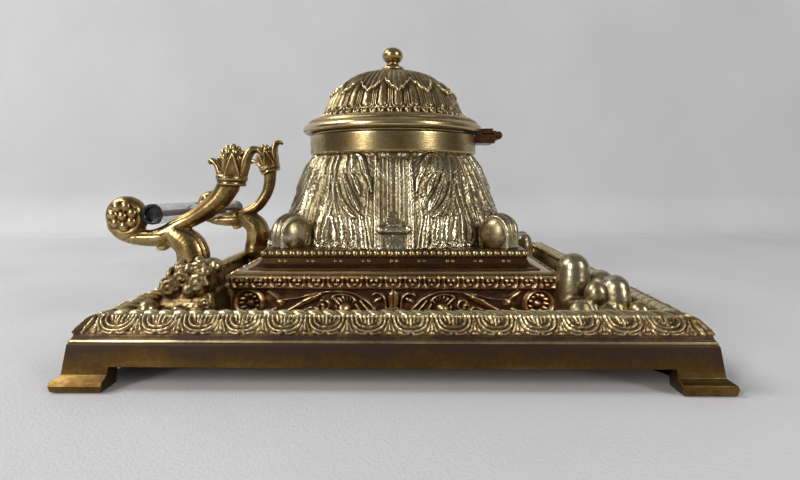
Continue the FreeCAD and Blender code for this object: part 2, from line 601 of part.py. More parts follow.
# ---- export ---------------------------------------------------------------------------------------
NODES = {
    "foot_frame": foot_frame(),
    "tray": tray(),
    "tray_screws": tray_screws(),
    "tray_finials": tray_finials(),
    "boss_screws": boss_screws(),
    "plinth": plinth(),
    "plinth_screws": plinth_screws(),
    "plinth_cap": plinth_cap(),
    "font_screws": font_screws(),
    "font_body": font_body(),
    "font_collar": font_collar(),
    "ink_pot": ink_pot(),
    "hinge_leaf_lower": hinge_leaf_lower(),
    "hinge_pin": hinge_pin(),
    "hinge_leaf_upper": hinge_leaf_upper(),
    "lid_shell": lid_shell(),
    "lid_finial": lid_finial(),
    "lid_finial_nut": lid_finial_nut(),
    "pen_bracket_right": pen_bracket(1, HORN_RIGHT, CUP_RIGHT, LEAN_RIGHT),
    "pen_bracket_left": pen_bracket(-1, HORN_LEFT, CUP_LEFT, LEAN_LEFT),
    "bracket_screws": rest_screws(),
    "pen_barrel": pen_barrel(),
    "pen_cap": pen_cap(),
    "pen_seam_ring": pen_seam_ring(),
    "pen_end_plug": pen_end_plug(),
    "pen_tip": pen_tip(),
    "pen_refill": pen_refill(),
}
for corner, sign_x, sign_y in CORNERS:
    NODES["corner_boss_" + corner] = corner_boss(sign_x, sign_y)
    NODES["corner_scroll_" + corner] = corner_scroll(sign_x, sign_y)

ON_THE_BELL = ("font_body", "font_collar", "ink_pot", "hinge_leaf_lower", "hinge_pin", "hinge_leaf_upper",
               "lid_shell", "lid_finial", "lid_finial_nut")

os.makedirs("parts", exist_ok=True)
for name, shape in NODES.items():
    forward = FONT_Y if name in ON_THE_BELL else 0.0
    placed = shape.translated(V(0, BASE_SHIFT + forward, 0))
    placed.exportStep("parts/" + name + ".step")
    size = placed.BoundBox
    print(name, "solids", len(placed.Solids), "valid", placed.isValid(), "volume", round(placed.Volume, 1),
          [round(v, 2) for v in (size.XMin, size.XMax, size.YMin, size.YMax, size.ZMin, size.ZMax)])
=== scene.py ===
"""Looks of the square brass desk inkwell: cast relief, aged brass with rubbed crests and painted shade in the
hollows, a clear pen, floor and light.

Millimetres until piece() turns them into metres. X and Y are measured from the middle of the square
base, -Y is the front with the pen rests, and Z is the height above the table.
"""
import math

import bpy
import numpy as np
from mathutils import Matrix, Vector


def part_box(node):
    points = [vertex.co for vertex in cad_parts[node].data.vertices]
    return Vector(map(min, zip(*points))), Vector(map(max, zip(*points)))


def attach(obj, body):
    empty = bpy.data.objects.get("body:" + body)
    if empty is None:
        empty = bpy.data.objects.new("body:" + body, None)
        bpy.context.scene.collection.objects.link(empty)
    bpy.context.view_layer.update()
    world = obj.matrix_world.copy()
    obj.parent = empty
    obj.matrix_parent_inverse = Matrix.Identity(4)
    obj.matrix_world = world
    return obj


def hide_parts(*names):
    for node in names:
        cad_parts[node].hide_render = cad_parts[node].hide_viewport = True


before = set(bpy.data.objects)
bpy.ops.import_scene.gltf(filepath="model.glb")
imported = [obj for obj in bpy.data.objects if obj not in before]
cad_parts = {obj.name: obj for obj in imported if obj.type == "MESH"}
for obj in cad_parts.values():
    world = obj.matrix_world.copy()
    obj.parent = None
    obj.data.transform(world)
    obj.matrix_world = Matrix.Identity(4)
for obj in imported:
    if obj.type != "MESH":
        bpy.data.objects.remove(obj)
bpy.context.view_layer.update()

MM = 0.001
TAU = 2 * math.pi
SIDES = ("right", "back", "left", "front")

BASE_LOW, BASE_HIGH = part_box("foot_frame")
CENTRE = np.array([(BASE_LOW.x + BASE_HIGH.x) / 2, (BASE_LOW.y + BASE_HIGH.y) / 2, 0]) / MM


def span(node):
    """Lowest and highest corner of a CAD node."""
    low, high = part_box(node)
    return np.array(low) / MM - CENTRE, np.array(high) / MM - CENTRE


# ---- numbers taken from the frame ----
BAND_TOP = span("foot_frame")[1][2]
FLOOR = span("plinth")[0][2]
ROPE_TOP = span("tray")[1][2]
LEDGE_TOP = span("plinth")[1][2]
PLINTH = span("plinth")[1][0] - 0.9
TABLE_TOP = span("plinth_cap")[1][2]
CAP_LOW = span("plinth_cap")[0][2]
TABLE = span("font_body")[1][0] + 0.5
BELL_AT = np.array([0, sum(corner[1] for corner in span("font_body")) / 2, 0])
FONT_TOP = span("font_body")[1][2]
COLLAR_R, _, COLLAR_TOP = span("font_collar")[1]
LID_R = span("lid_shell")[1][0]
LID_LOW = span("lid_shell")[0][2]
FINIAL_TOP = span("lid_finial")[1][2]


# ---- meshes ----
def outward(verts, groups):
    """The face groups, turned if needed so that they look outwards."""
    volume = 0.0
    for loops in groups:
        for k in range(1, loops.shape[1] - 1):
            a, b, c = verts[loops[:, 0]], verts[loops[:, k]], verts[loops[:, k + 1]]
            volume += float((a * np.cross(b, c)).sum())
    return groups if volume > 0 else [loops[:, ::-1] for loops in groups]


def join(parts):
    """One vertex array and one list of face groups from several (verts, groups)."""
    verts, groups, start = [], [], 0
    for part_verts, part_groups in parts:
        part_verts = np.asarray(part_verts, float).reshape(-1, 3)
        verts.append(part_verts)
        groups += [loops + start for loops in outward(part_verts, part_groups)]
        start += len(part_verts)
    return np.vstack(verts), groups


def mesh_of(name, verts, groups):
    """Smooth-shaded mesh, in metres, from millimetre points and face groups."""
    mesh = bpy.data.meshes.new(name)
    totals = np.concatenate([np.full(len(loops), loops.shape[1]) for loops in groups])
    corners = np.concatenate([loops.ravel() for loops in groups])
    mesh.vertices.add(len(verts))
    mesh.vertices.foreach_set("co", (verts * MM).ravel())
    mesh.loops.add(len(corners))
    mesh.loops.foreach_set("vertex_index", corners)
    mesh.polygons.add(len(totals))
    mesh.polygons.foreach_set("loop_start", np.cumsum(totals) - totals)
    mesh.polygons.foreach_set("use_smooth", [True] * len(totals))
    mesh.update(calc_edges=True)
    return mesh


def relief_for_wear_and_shade(mesh, passes, depth):
    """Store how far each vertex stands above its surroundings: 1 on rubbed crests, 0 in hollows; the brass
    tints the hollows with patina and painted shade.
    """
    count = len(mesh.vertices)
    place = np.zeros(count * 3)
    normal = np.zeros(count * 3)
    ends = np.zeros(len(mesh.edges) * 2, int)
    mesh.vertices.foreach_get("co", place)
    mesh.vertices.foreach_get("normal", normal)
    mesh.edges.foreach_get("vertices", ends)
    place, normal = place.reshape(-1, 3), normal.reshape(-1, 3)
    a, b = ends[0::2], ends[1::2]
    degree = np.maximum(np.bincount(ends, minlength=count), 1)[:, None]
    blurred = place.copy()
    for _ in range(passes):
        near = [np.bincount(a, blurred[b, k], count) + np.bincount(b, blurred[a, k], count) for k in range(3)]
        blurred = 0.4 * blurred + 0.6 * np.stack(near, 1) / degree
    height = ((place - blurred) * normal).sum(1) / (depth * MM)
    values = np.clip(0.5 + 0.5 * height, 0, 1).astype(np.float32)
    mesh.attributes.new("relief", "FLOAT", "POINT").data.foreach_set("value", values)


def placed(name, data):
    """A new object in the scene."""
    item = bpy.data.objects.new(name, data)
    bpy.context.scene.collection.objects.link(item)
    return item


def piece(name, parts, nodes, look, body="base", passes=30, depth=0.35):
    """A visible piece that stands for CAD nodes and rides with their body."""
    verts, groups = join(parts)
    mesh = mesh_of(name, verts + CENTRE, groups)
    relief_for_wear_and_shade(mesh, passes, depth)
    mesh.materials.append(look)
    made = placed(name, mesh)
    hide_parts(*nodes)
    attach(made, body)
    return made


def swept(rows, wrap):
    """Closed cross-sections joined one to the next; open ends are capped."""
    count, ring = rows.shape[:2]
    i = np.arange(count if wrap else count - 1)[:, None]
    j = np.arange(ring)[None, :]
    after_i, after_j = (i + 1) % count, (j + 1) % ring
    corners = [i * ring + j, after_i * ring + j, after_i * ring + after_j, i * ring + after_j]
    groups = [np.stack(np.broadcast_arrays(*corners), -1).reshape(-1, 4)]
    if not wrap:
        groups.append(np.arange(ring - 1, -1, -1)[None, :])
        groups.append(np.arange((count - 1) * ring, count * ring)[None, :])
    return rows.reshape(-1, 3), groups


def grid_quads(count, wide):
    """Quads between the points of a count by wide grid."""
    i, j = np.meshgrid(np.arange(count - 1), np.arange(wide - 1), indexing="ij")
    corners = [i * wide + j, (i + 1) * wide + j, (i + 1) * wide + j + 1, i * wide + j + 1]
    return np.stack(corners, -1).reshape(-1, 4)


def soften(points, radius):
    """Round the corners of a closed outline."""
    points = np.asarray(points, float)
    out = []
    for before, here, after in zip(np.roll(points, 1, 0), points, np.roll(points, -1, 0)):
        back, on = before - here, after - here
        back_long, on_long = np.linalg.norm(back), np.linalg.norm(on)
        cut = min(radius, back_long / 2.2, on_long / 2.2)
        start, end = here + back / back_long * cut, here + on / on_long * cut
        for t in (0, 0.33, 0.67, 1):
            out.append((1 - t) ** 2 * start + 2 * t * (1 - t) * here + t * t * end)
    return np.array(out)


def spaced(points, step, closed=True):
    """Put extra points on an outline so that none are further apart than step."""
    points = np.asarray(points, float)
    ends = np.roll(points, -1, 0) if closed else points[1:]
    out = []
    for here, after in zip(points, ends):
        cuts = max(1, math.ceil(np.linalg.norm(after - here) / step))
        out += [here + (after - here) * k / cuts for k in range(cuts)]
    if not closed:
        out.append(points[-1])
    return np.array(out)


def curve(points, steps=6):
    """Smooth curve through points."""
    points = np.asarray(points, float)
    run = np.vstack([2 * points[0] - points[1], points, 2 * points[-1] - points[-2]])
    out = []
    for i in range(len(points) - 1):
        a, b, c, d = run[i:i + 4]
        for t in np.arange(steps) / steps:
            out.append(b + 0.5 * t * (c - a + t * (2 * a - 5 * b + 4 * c - d + t * (3 * (b - c) + d - a))))
    out.append(points[-1])
    return np.array(out)


def normals_2d(outline):
    """Outward normals of a closed outline that runs anticlockwise."""
    along = np.roll(outline, -1, 0) - np.roll(outline, 1, 0)
    along /= np.maximum(np.linalg.norm(along, axis=1), 1e-9)[:, None]
    return np.stack([along[:, 1], -along[:, 0]], 1)


def lengths(outline):
    """Distance along an open outline at each of its points."""
    return np.concatenate([[0], np.cumsum(np.linalg.norm(np.diff(outline, axis=0), axis=1))])


def quarter_turns(verts):
    """The same points turned to face +X, +Y, -X and -Y."""
    x, y, z = verts[..., 0], verts[..., 1], verts[..., 2]
    return [np.stack(turned, -1) for turned in ((x, y, z), (-y, x, z), (-x, -y, z), (y, -x, z))]


def square_side(front, back, relief, step):
    """One mitred side facing +X. front carries the relief, back closes the section."""
    front, back = np.asarray(front, float), np.asarray(back, float)
    outline = np.vstack([front, back])
    normal = normals_2d(outline)
    reach = front[:, 0].max()
    share = np.linspace(-1, 1, 2 * int(reach / step) + 1)[:, None]
    side = share * outline[None, :, 0]
    lift = np.zeros(side.shape)
    if relief:
        up = lengths(front)[None, :] + 0 * share
        lift[:, :len(front)] = relief(side[:, :len(front)], up, front[None, :, 1] + 0 * share)
    out = outline[None, :, 0] + lift * normal[None, :, 0]
    high = outline[None, :, 1] + lift * normal[None, :, 1]
    return np.stack([out, share * out, high], -1)


def four_sides(name, side, node, look, passes, depth):
    """Four pieces that share one mitred side."""
    for hand, verts in zip(SIDES, quarter_turns(side)):
        piece(name + hand, [swept(verts, False)], [node], look, passes=passes, depth=depth)


def round_part(front, back, relief, count, start=0.0, turn=TAU):
    """A turned casting, or a sector of it. front carries the relief, back closes the section."""
    front = np.asarray(front, float)
    outline = np.vstack([front, np.asarray(back, float)]) if len(back) else front
    normal = normals_2d(outline)
    whole = turn >= TAU - 1e-6
    angle = start + turn * (np.arange(count) / count if whole else np.linspace(0, 1, count))[:, None]
    lift = np.zeros((count, len(outline)))
    if relief:
        up = lengths(front)[None, :] + 0 * angle
        lift[:, :len(front)] = relief(angle + 0 * up, up, front[None, :, 0] + 0 * angle,
            front[None, :, 1] + 0 * angle)
    radius = outline[None, :, 0] + lift * normal[None, :, 0]
    high = outline[None, :, 1] + lift * normal[None, :, 1]
    return swept(np.stack([radius * np.cos(angle), radius * np.sin(angle), high], -1), whole)


def turned(outline, count=96, axis="z", at=(0, 0, 0)):
    """A plain turned piece: outline is a closed (radius, height) loop, anticlockwise."""
    verts, faces = round_part(outline, (), None, count)
    if axis == "x":
        verts = verts[:, [2, 0, 1]]
    return verts + np.array(at), faces


def lens(radius_out, radius_up, count=20, rings=8):
    """Half ellipsoid standing on z = 0, closed below."""
    tilt = np.linspace(0, math.pi / 2, rings)[:, None]
    turn = np.linspace(0, TAU, count, endpoint=False)[None, :]
    shell = np.stack([radius_out * np.cos(tilt) * np.cos(turn), radius_out * np.cos(tilt) * np.sin(turn),
                      radius_up * np.sin(tilt) + 0 * turn], -1)
    return swept(shell, False)


# ---- drawing relief ----
def to_segment(coords, start, end):
    """How far along a segment the nearest point lies, from 0 to 1, and the squared distance to it."""
    step = end - start
    rel = [c - p for c, p in zip(coords, start)]
    share = np.clip(sum(r * s for r, s in zip(rel, step)) / max(float(step @ step), 1e-9), 0, 1)
    return share, sum((r - share * s) ** 2 for r, s in zip(rel, step))


def near_path(coords, path):
    """Distance to a path and how far along it, from 0 to 1."""
    best = np.full(np.broadcast(*coords).shape, 1e9)
    where = np.zeros(best.shape)
    last = len(path) - 1
    for i in range(last):
        share, gap = to_segment(coords, path[i], path[i + 1])
        closer = gap < best
        best = np.where(closer, gap, best)
        where = np.where(closer, (i + share) / last, where)
    return np.sqrt(best), where


def ridge(s, t, points, width, height):
    """Round-topped ridge; width may be a list that runs along the path."""
    gap, where = near_path((s, t), curve(points, 5))
    width = np.interp(where, np.linspace(0, 1, len(np.atleast_1d(width))), np.atleast_1d(width))
    return height * np.clip(1 - (gap / width) ** 2, 0, 1) ** 0.8


def drawing(s, t):
    """A function that draws ridges on the given coordinates."""
    return lambda points, width, height: ridge(s, t, points, width, height)


def spun(a, b, angle):
    """Two coordinates turned by an angle."""
    return a * math.cos(angle) - b * math.sin(angle), a * math.sin(angle) + b * math.cos(angle)


def bean(s, t, centre, long, short, degrees, height):
    """Oval dome."""
    a, b = spun(s - centre[0], t - centre[1], -math.radians(degrees))
    return height * np.clip(1 - (a / long) ** 2 - (b / short) ** 2, 0, 1) ** 0.5


def top(*heights):
    return np.maximum.reduce(heights)


def bump(distance, half):
    """1 at a distance of 0, falling to 0 at half on either side."""
    return np.clip(1 - (distance / half) ** 2, 0, 1)


def rise(value, length):
    """Straight slope from 0 at a value of 0 to 1 at length."""
    return np.clip(value / length, 0, 1)


def ripple(s, t, seed, size):
    """Smooth uneven ground, about -1 to 1."""
    rng = np.random.default_rng(seed)
    total = 0
    for _ in range(7):
        angle, phase = rng.uniform(0, TAU, 2)
        pitch = size * rng.uniform(0.6, 1.7)
        total = total + np.sin((s * math.cos(angle) + t * math.sin(angle)) * TAU / pitch + phase)
    return total / 3.5


# ---- surfaces grown from a field ----
def skin(field, low, high, cell):
    """Quads over the surface where field(x, y, z) is zero; the field is negative inside."""
    low, high = np.asarray(low, float), np.asarray(high, float)
    counts = np.ceil((high - low) / cell).astype(int) + 1
    grid = [low[k] + cell * np.arange(counts[k]) for k in range(3)]
    value = field(*np.meshgrid(*grid, indexing="ij"))
    inside = value < 0
    total = sum(inside[i:counts[0] - 1 + i, j:counts[1] - 1 + j, k:counts[2] - 1 + k].astype(np.int8)
                for i in (0, 1) for j in (0, 1) for k in (0, 1))
    mixed = (total > 0) & (total < 8)
    number = np.full(mixed.shape, -1)
    number[mixed] = np.arange(mixed.sum())
    cells = np.argwhere(mixed)
    place = np.zeros((len(cells), 3))
    hits = np.zeros(len(cells))
    for axis in range(3):
        unit = np.eye(3, dtype=int)[axis]
        others = [k for k in range(3) if k != axis]
        for p in (0, 1):
            for q in (0, 1):
                start = np.zeros(3, int)
                start[others[0]], start[others[1]] = p, q
                a = value[tuple((cells + start).T)]
                b = value[tuple((cells + start + unit).T)]
                cross = (a < 0) != (b < 0)
                share = np.where(cross, a / np.where(cross, a - b, 1), 0)
                place[cross] += start + share[cross, None] * unit
                hits[cross] += 1
    verts = low + cell * (cells + place / hits[:, None])
    faces = []
    for axis in range(3):
        first, second = [k for k in range(3) if k != axis]
        ahead = np.roll(inside, -1, axis)
        change = inside != ahead
        edges = np.argwhere(change)
        fits = (edges[:, axis] < counts[axis] - 1) & (edges[:, first] > 0) & (edges[:, second] > 0)
        edges = edges[fits & (edges[:, first] < counts[first] - 1) & (edges[:, second] < counts[second] - 1)]
        one, two = np.eye(3, dtype=int)[first], np.eye(3, dtype=int)[second]
        ring = np.stack([number[tuple((edges - d).T)] for d in (one + two, two, 0 * one, one)], 1)
        flip = inside[tuple(edges.T)] != (axis == 1)
        faces.append(np.where(flip[:, None], ring, ring[:, ::-1]))
    return verts, faces


FAR = 2.0
CELL = 0.24


def ball(p, centre, radius):
    return np.sqrt(sum((a - c) ** 2 for a, c in zip(p, centre))) - radius


def egg(p, centre, radii):
    """Ellipsoid along the axes."""
    parts = [(a - c) / r for a, c, r in zip(p, centre, radii)]
    k0 = np.sqrt(sum(a * a for a in parts)) + 1e-9
    k1 = np.sqrt(sum((a / r) ** 2 for a, r in zip(parts, radii))) + 1e-9
    return k0 * (k0 - 1) / k1


def limb(p, stations, steps=4):
    """Round bar through (x, y, z, radius) stations; beyond FAR from its box it just reads FAR."""
    path = curve(stations, steps)
    margin = path[:, 3].max() + FAR
    near = np.ones(np.broadcast(*p).shape, bool)
    for axis in range(3):
        near &= (p[axis] > path[:, axis].min() - margin) & (p[axis] < path[:, axis].max() + margin)
    q = [c[near] for c in np.broadcast_arrays(*p)]
    best = np.full(q[0].shape, FAR)
    for a, b in zip(path, path[1:]):
        share, gap = to_segment(q, a[:3], b[:3])
        best = np.minimum(best, np.sqrt(gap) - (a[3] + (b[3] - a[3]) * share))
    whole = np.full(near.shape, FAR)
    whole[near] = best
    return whole


def block(p, low, high, radius):
    """Box with rounded edges."""
    q = [np.abs(a - (l + h) / 2) - (h - l) / 2 + radius for a, l, h in zip(p, low, high)]
    out = np.sqrt(sum(np.maximum(a, 0) ** 2 for a in q))
    return out + np.minimum(np.maximum.reduce(q), 0) - radius


def drum(p, axis, centre, radius, half, edge):
    """Short cylinder along an axis with rounded edges."""
    other = [k for k in range(3) if k != axis]
    r = np.sqrt(sum((p[k] - centre[k]) ** 2 for k in other)) - radius + edge
    h = np.abs(p[axis] - centre[axis]) - half + edge
    out = np.sqrt(np.maximum(r, 0) ** 2 + np.maximum(h, 0) ** 2)
    return out + np.minimum(np.maximum(r, h), 0) - edge


def melt(k, *fields):
    """Smooth union over a blend of size k."""
    whole = fields[0]
    for field in fields[1:]:
        share = np.clip(0.5 + 0.5 * (field - whole) / k, 0, 1)
        whole = field + (whole - field) * share - k * share * (1 - share)
    return whole


# ---- materials ----
def colour(red, green, blue):
    """Linear colour from sRGB 0..255."""
    return tuple(((c / 255 + 0.055) / 1.055) ** 2.4 if c > 10 else c / 3294
        for c in (red, green, blue)) + (1,)


def new_look(name):
    look = bpy.data.materials.new(name)
    look.use_nodes = True
    return look, look.node_tree, look.node_tree.nodes["Principled BSDF"]


def noise(tree, scale, detail=4.0, stretch=None):
    """Noise in the piece's own space; scale is in cycles per metre."""
    node = tree.nodes.new("ShaderNodeTexNoise")
    node.inputs["Scale"].default_value = scale
    node.inputs["Detail"].default_value = detail
    place = tree.nodes.new("ShaderNodeTexCoord").outputs["Object"]
    if stretch:
        squash = tree.nodes.new("ShaderNodeVectorMath")
        squash.operation = "MULTIPLY"
        squash.inputs[1].default_value = stretch
        tree.links.new(place, squash.inputs[0])
        place = squash.outputs[0]
    tree.links.new(place, node.inputs["Vector"])
    return node.outputs["Fac"]


def blend_of(tree, operation, a, b):
    node = tree.nodes.new("ShaderNodeMath")
    node.operation = operation
    for socket, value in zip(node.inputs, (a, b)):
        if isinstance(value, (int, float)):
            socket.default_value = value
        else:
            tree.links.new(value, socket)
    return node.outputs[0]


def mapped(tree, value, low, high, to_low, to_high):
    node = tree.nodes.new("ShaderNodeMapRange")
    for socket, number in zip(list(node.inputs)[1:5], (low, high, to_low, to_high)):
        socket.default_value = number
    tree.links.new(value, node.inputs[0])
    return node.outputs[0]


def ramp(tree, value, stops):
    node = tree.nodes.new("ShaderNodeValToRGB")
    band = node.color_ramp
    while len(band.elements) < len(stops):
        band.elements.new(0.5)
    for element, (place, shade) in zip(band.elements, stops):
        element.position = place
        element.color = shade
    tree.links.new(value, node.inputs[0])
    return node.outputs[0]


def bumped(tree, shader, value, strength, distance):
    node = tree.nodes.new("ShaderNodeBump")
    node.inputs["Strength"].default_value = strength
    node.inputs["Distance"].default_value = distance
    tree.links.new(value, node.inputs["Height"])
    tree.links.new(node.outputs[0], shader.inputs["Normal"])


def brass(name, hollow, middle, crest, rough=(0.55, 0.24), grain=0.25, patch=0.35, brushed=False,
          gain=1.0, foot=None):
    """Aged brass: patina and painted shade in the hollows, painted shade below the foot height in mm, rubbed
    crests, grain and patches.
    """
    look, tree, shader = new_look(name)
    relief = tree.nodes.new("ShaderNodeAttribute")
    relief.attribute_name = "relief"
    broad = noise(tree, 95, 3.0)
    fine = noise(tree, 800, 5.0)
    # Relief tint: crests lighter as rubbed brass, hollows darker as patina and as painted shade where the
    # relief would block light.
    level = mapped(tree, relief.outputs["Fac"], 0, 1, 0.5 - gain / 2, 0.5 + gain / 2)
    wear_and_shade = level
    for uneven, share in ((broad, patch * 2), (fine, patch)):
        uneven = blend_of(tree, "MULTIPLY", blend_of(tree, "SUBTRACT", uneven, 0.5), share)
        wear_and_shade = blend_of(tree, "ADD", wear_and_shade, uneven)
    # Painted shade: below the foot height the tint is pushed darker, in place of the dark reflection on the
    # upright strip.
    if foot:
        place = tree.nodes.new("ShaderNodeSeparateXYZ")
        tree.links.new(tree.nodes.new("ShaderNodeTexCoord").outputs["Object"], place.inputs[0])
        painted_foot_shade = mapped(tree, place.outputs["Z"], (foot - 0.3) * MM, (foot + 0.3) * MM, 0.3, 0.0)
        wear_and_shade = blend_of(tree, "SUBTRACT", wear_and_shade, painted_foot_shade)
    tint = ramp(tree, wear_and_shade, [(0.16, colour(*hollow)), (0.5, colour(*middle)), (0.86, colour(*crest))])
    tree.links.new(tint, shader.inputs["Base Color"])
    shader.inputs["Metallic"].default_value = 1.0
    tree.links.new(mapped(tree, wear_and_shade, 0.2, 0.75, rough[0], rough[1]), shader.inputs["Roughness"])
    tree.links.new(mapped(tree, wear_and_shade, 0.12, 0.42, 0.55, 1.0), shader.inputs["Metallic"])
    texture = noise(tree, 1500, 3.0)
    if brushed:
        texture = noise(tree, 260, 6.0, brushed)
    bumped(tree, shader, texture, grain, 0.00012)
    return look


CAST = brass("cast_brass_worn_shaded", (52, 34, 20), (122, 100, 66), (208, 192, 148), rough=(0.5, 0.27), grain=0.4)
# foot=13.4 paints shade onto the border's lower strip.
BORDER = brass("cast_brass_border", (52, 32, 20), (124, 100, 66), (208, 190, 146), rough=(0.5, 0.28),
    grain=0.4, foot=13.4)
PALE = brass("cast_brass_pale", (76, 60, 40), (148, 134, 102), (232, 224, 196), rough=(0.48, 0.22), grain=0.4)
DARK_CAST = brass("cast_brass_dark", (64, 40, 26), (118, 86, 58), (196, 168, 124), rough=(0.5, 0.28),
    grain=0.4)
PLAIN = brass("plain_brass_band", (56, 36, 18), (98, 74, 38), (136, 112, 64),
              rough=(0.46, 0.28), grain=0.14, patch=0.5, brushed=(1, 1, 6))
TABLE_LOOK = brass("table_brass", (48, 28, 18), (86, 60, 36), (130, 102, 66), rough=(0.46, 0.3), grain=0.2,
    patch=0.4)
HINGE = brass("hinge_brass", (44, 24, 16), (96, 64, 42), (160, 128, 88), rough=(0.5, 0.3), grain=0.3,
    patch=0.4)
BRIGHT = brass("collar_brass", (74, 52, 28), (138, 112, 70), (196, 178, 130),
               rough=(0.42, 0.26), grain=0.16, patch=0.45, brushed=(1, 1, 9))
POLISHED = brass("bracket_brass", (52, 34, 18), (128, 102, 60), (206, 184, 132),
                 rough=(0.42, 0.22), grain=0.14, patch=0.35, gain=0.9)


def plain_look(name, dark, light, tint_noise, rough_noise, rough, grain_noise, grain, share=0.3, **inputs):
    """Uneven tint, roughness and grain; inputs are constants on the shader's own sockets."""
    look, tree, shader = new_look(name)
    tint = ramp(tree, noise(tree, *tint_noise), [(share, colour(*dark)), (1 - share, colour(*light))])
    tree.links.new(tint, shader.inputs["Base Color"])
    tree.links.new(mapped(tree, noise(tree, *rough_noise), 0.3, 0.7, *rough), shader.inputs["Roughness"])
    bumped(tree, shader, noise(tree, *grain_noise), *grain)
    for socket, value in inputs.items():
        shader.inputs[socket.replace("_", " ")].default_value = value
    return look


def dull(name, dark, light, rough):
    """Dark plastic or dried ink."""
    return plain_look(name, dark, light, (600, 5.0), (600, 5.0), (rough, rough + 0.15), (1400, 3.0),
        (0.12, 0.0001), share=0.35)


STEEL = plain_look("screw_steel", (70, 66, 60), (170, 168, 162), (420, 5.0), (420, 5.0), (0.5, 0.28),
                   (1800, 3.0), (0.2, 0.0001), Metallic=1.0)
GLAZE = plain_look("pot_glaze", (206, 198, 178), (238, 234, 222), (140, 5.0), (300, 4.0), (0.14, 0.3),
                   (500, 4.0), (0.06, 0.0001), Coat_Weight=0.5)
PEN_PLASTIC = plain_look("pen_clear", (226, 228, 226), (246, 247, 246), (200, 4.0), (350, 4.0), (0.03, 0.14),
                         (150, 3.0), (0.05, 0.0002), Transmission_Weight=1.0, IOR=1.14)
BLACK = dull("pen_black", (8, 8, 9), (18, 18, 20), 0.16)
INK = dull("pen_ink", (104, 94, 92), (142, 130, 126), 0.3)


# ---- tray: leaf border, rope, floor ----
RIM_UNITS = 14
RIM_PITCH = 10.6
RIM_HALF_LOW = 80
RIM_HALF_HIGH = 75
RIM_SLANT = 7.3
ROPE_HALF = 72.4
ROPE_LEAD = 11.5
FLOOR_HALF = 69.4
MOULDING_LOW = 18.9
MOULDING_HIGH = 22.3
MEDAL_AT = (43.6, 14.4)


def rim_relief(side, up, high):
    """Leaves with a double outline and a midrib, darts between them and curls along the bottom."""
    place = np.abs(side)
    cell = np.mod(place, RIM_PITCH) - RIM_PITCH / 2
    v = np.abs(cell)
    t = up - 1.2
    outline = ridge(v, t, [(4.1, 7.4), (4.2, 5.2), (3.7, 3.6), (2.6, 2.5), (1.2, 2.05), (-0.4, 2.0)],
        [0.34, 0.42, 0.38], 0.75)
    inner = ridge(v, t, [(3.2, 7.0), (3.2, 5.4), (2.7, 4.2), (1.7, 3.4), (-0.3, 3.1)], [0.26, 0.32, 0.24],
        0.55)
    lobe = -0.3 * np.clip(1 - ((v - 1.7) / 1.2) ** 2 - ((t - 5.3) / 1.6) ** 2, 0, 1)
    rib = top(ridge(v, t, [(0, 7.2), (0, 3.7)], [0.3, 0.4, 0.2], 0.6),
        ridge(v, t, [(1.15, 7.0), (0.8, 4.4)], [0.26, 0.34, 0.16], 0.55),
        ridge(v, t, [(2.2, 6.8), (1.7, 4.9)], [0.2, 0.3, 0.16], 0.45))
    curl = ridge(v, t, [(2.9, 1.75), (1.8, 1.35), (0.9, 1.3), (0.5, 1.6)], [0.2, 0.3, 0.34, 0.2], 0.6)
    w = RIM_PITCH / 2 - v
    dart = top(ridge(w, t, [(0, 7.2), (0, 4.4), (0, 2.4)], [0.2, 0.3, 0.34], 0.65),
               ridge(w, t, [(0.3, 5.2), (0.6, 3.6), (1.2, 2.0)], [0.16, 0.26, 0.2], 0.55),
               bean(w, t, (0.0, 1.5), 0.6, 0.36, 0, 0.6))
    lip = 0.35 * rise(t - 6.7 - 0.4 * np.cos(cell * TAU / RIM_PITCH), 0.5)
    relief = top(outline, inner, rib, curl, dart, lip) + lobe
    corner = place - RIM_UNITS / 2 * RIM_PITCH
    gap = RIM_HALF_LOW - (RIM_HALF_LOW - RIM_HALF_HIGH) * rise(t, RIM_SLANT) - place
    leaf = top(ridge(gap, t, [(0, -0.5), (0, 7.6)], [0.9, 0.6], 0.9),
        ridge(gap, t, [(2.4, 0.8), (1.7, 3.6), (0.6, 6.0)], [0.35, 0.5, 0.25], 0.7))
    relief = np.where(corner > 0, leaf, relief)
    fade = rise(up, 0.9)
    strip = rise(t - 0.9, 0.25)
    step = 0.12 * bump(t - 0.75, 0.22)
    return (0.8 * relief * strip + step - 0.3) * fade + (0.07 * ripple(side, up, 5, 2.2)
        + 0.05 * ripple(side, up, 6, 0.9)) * strip


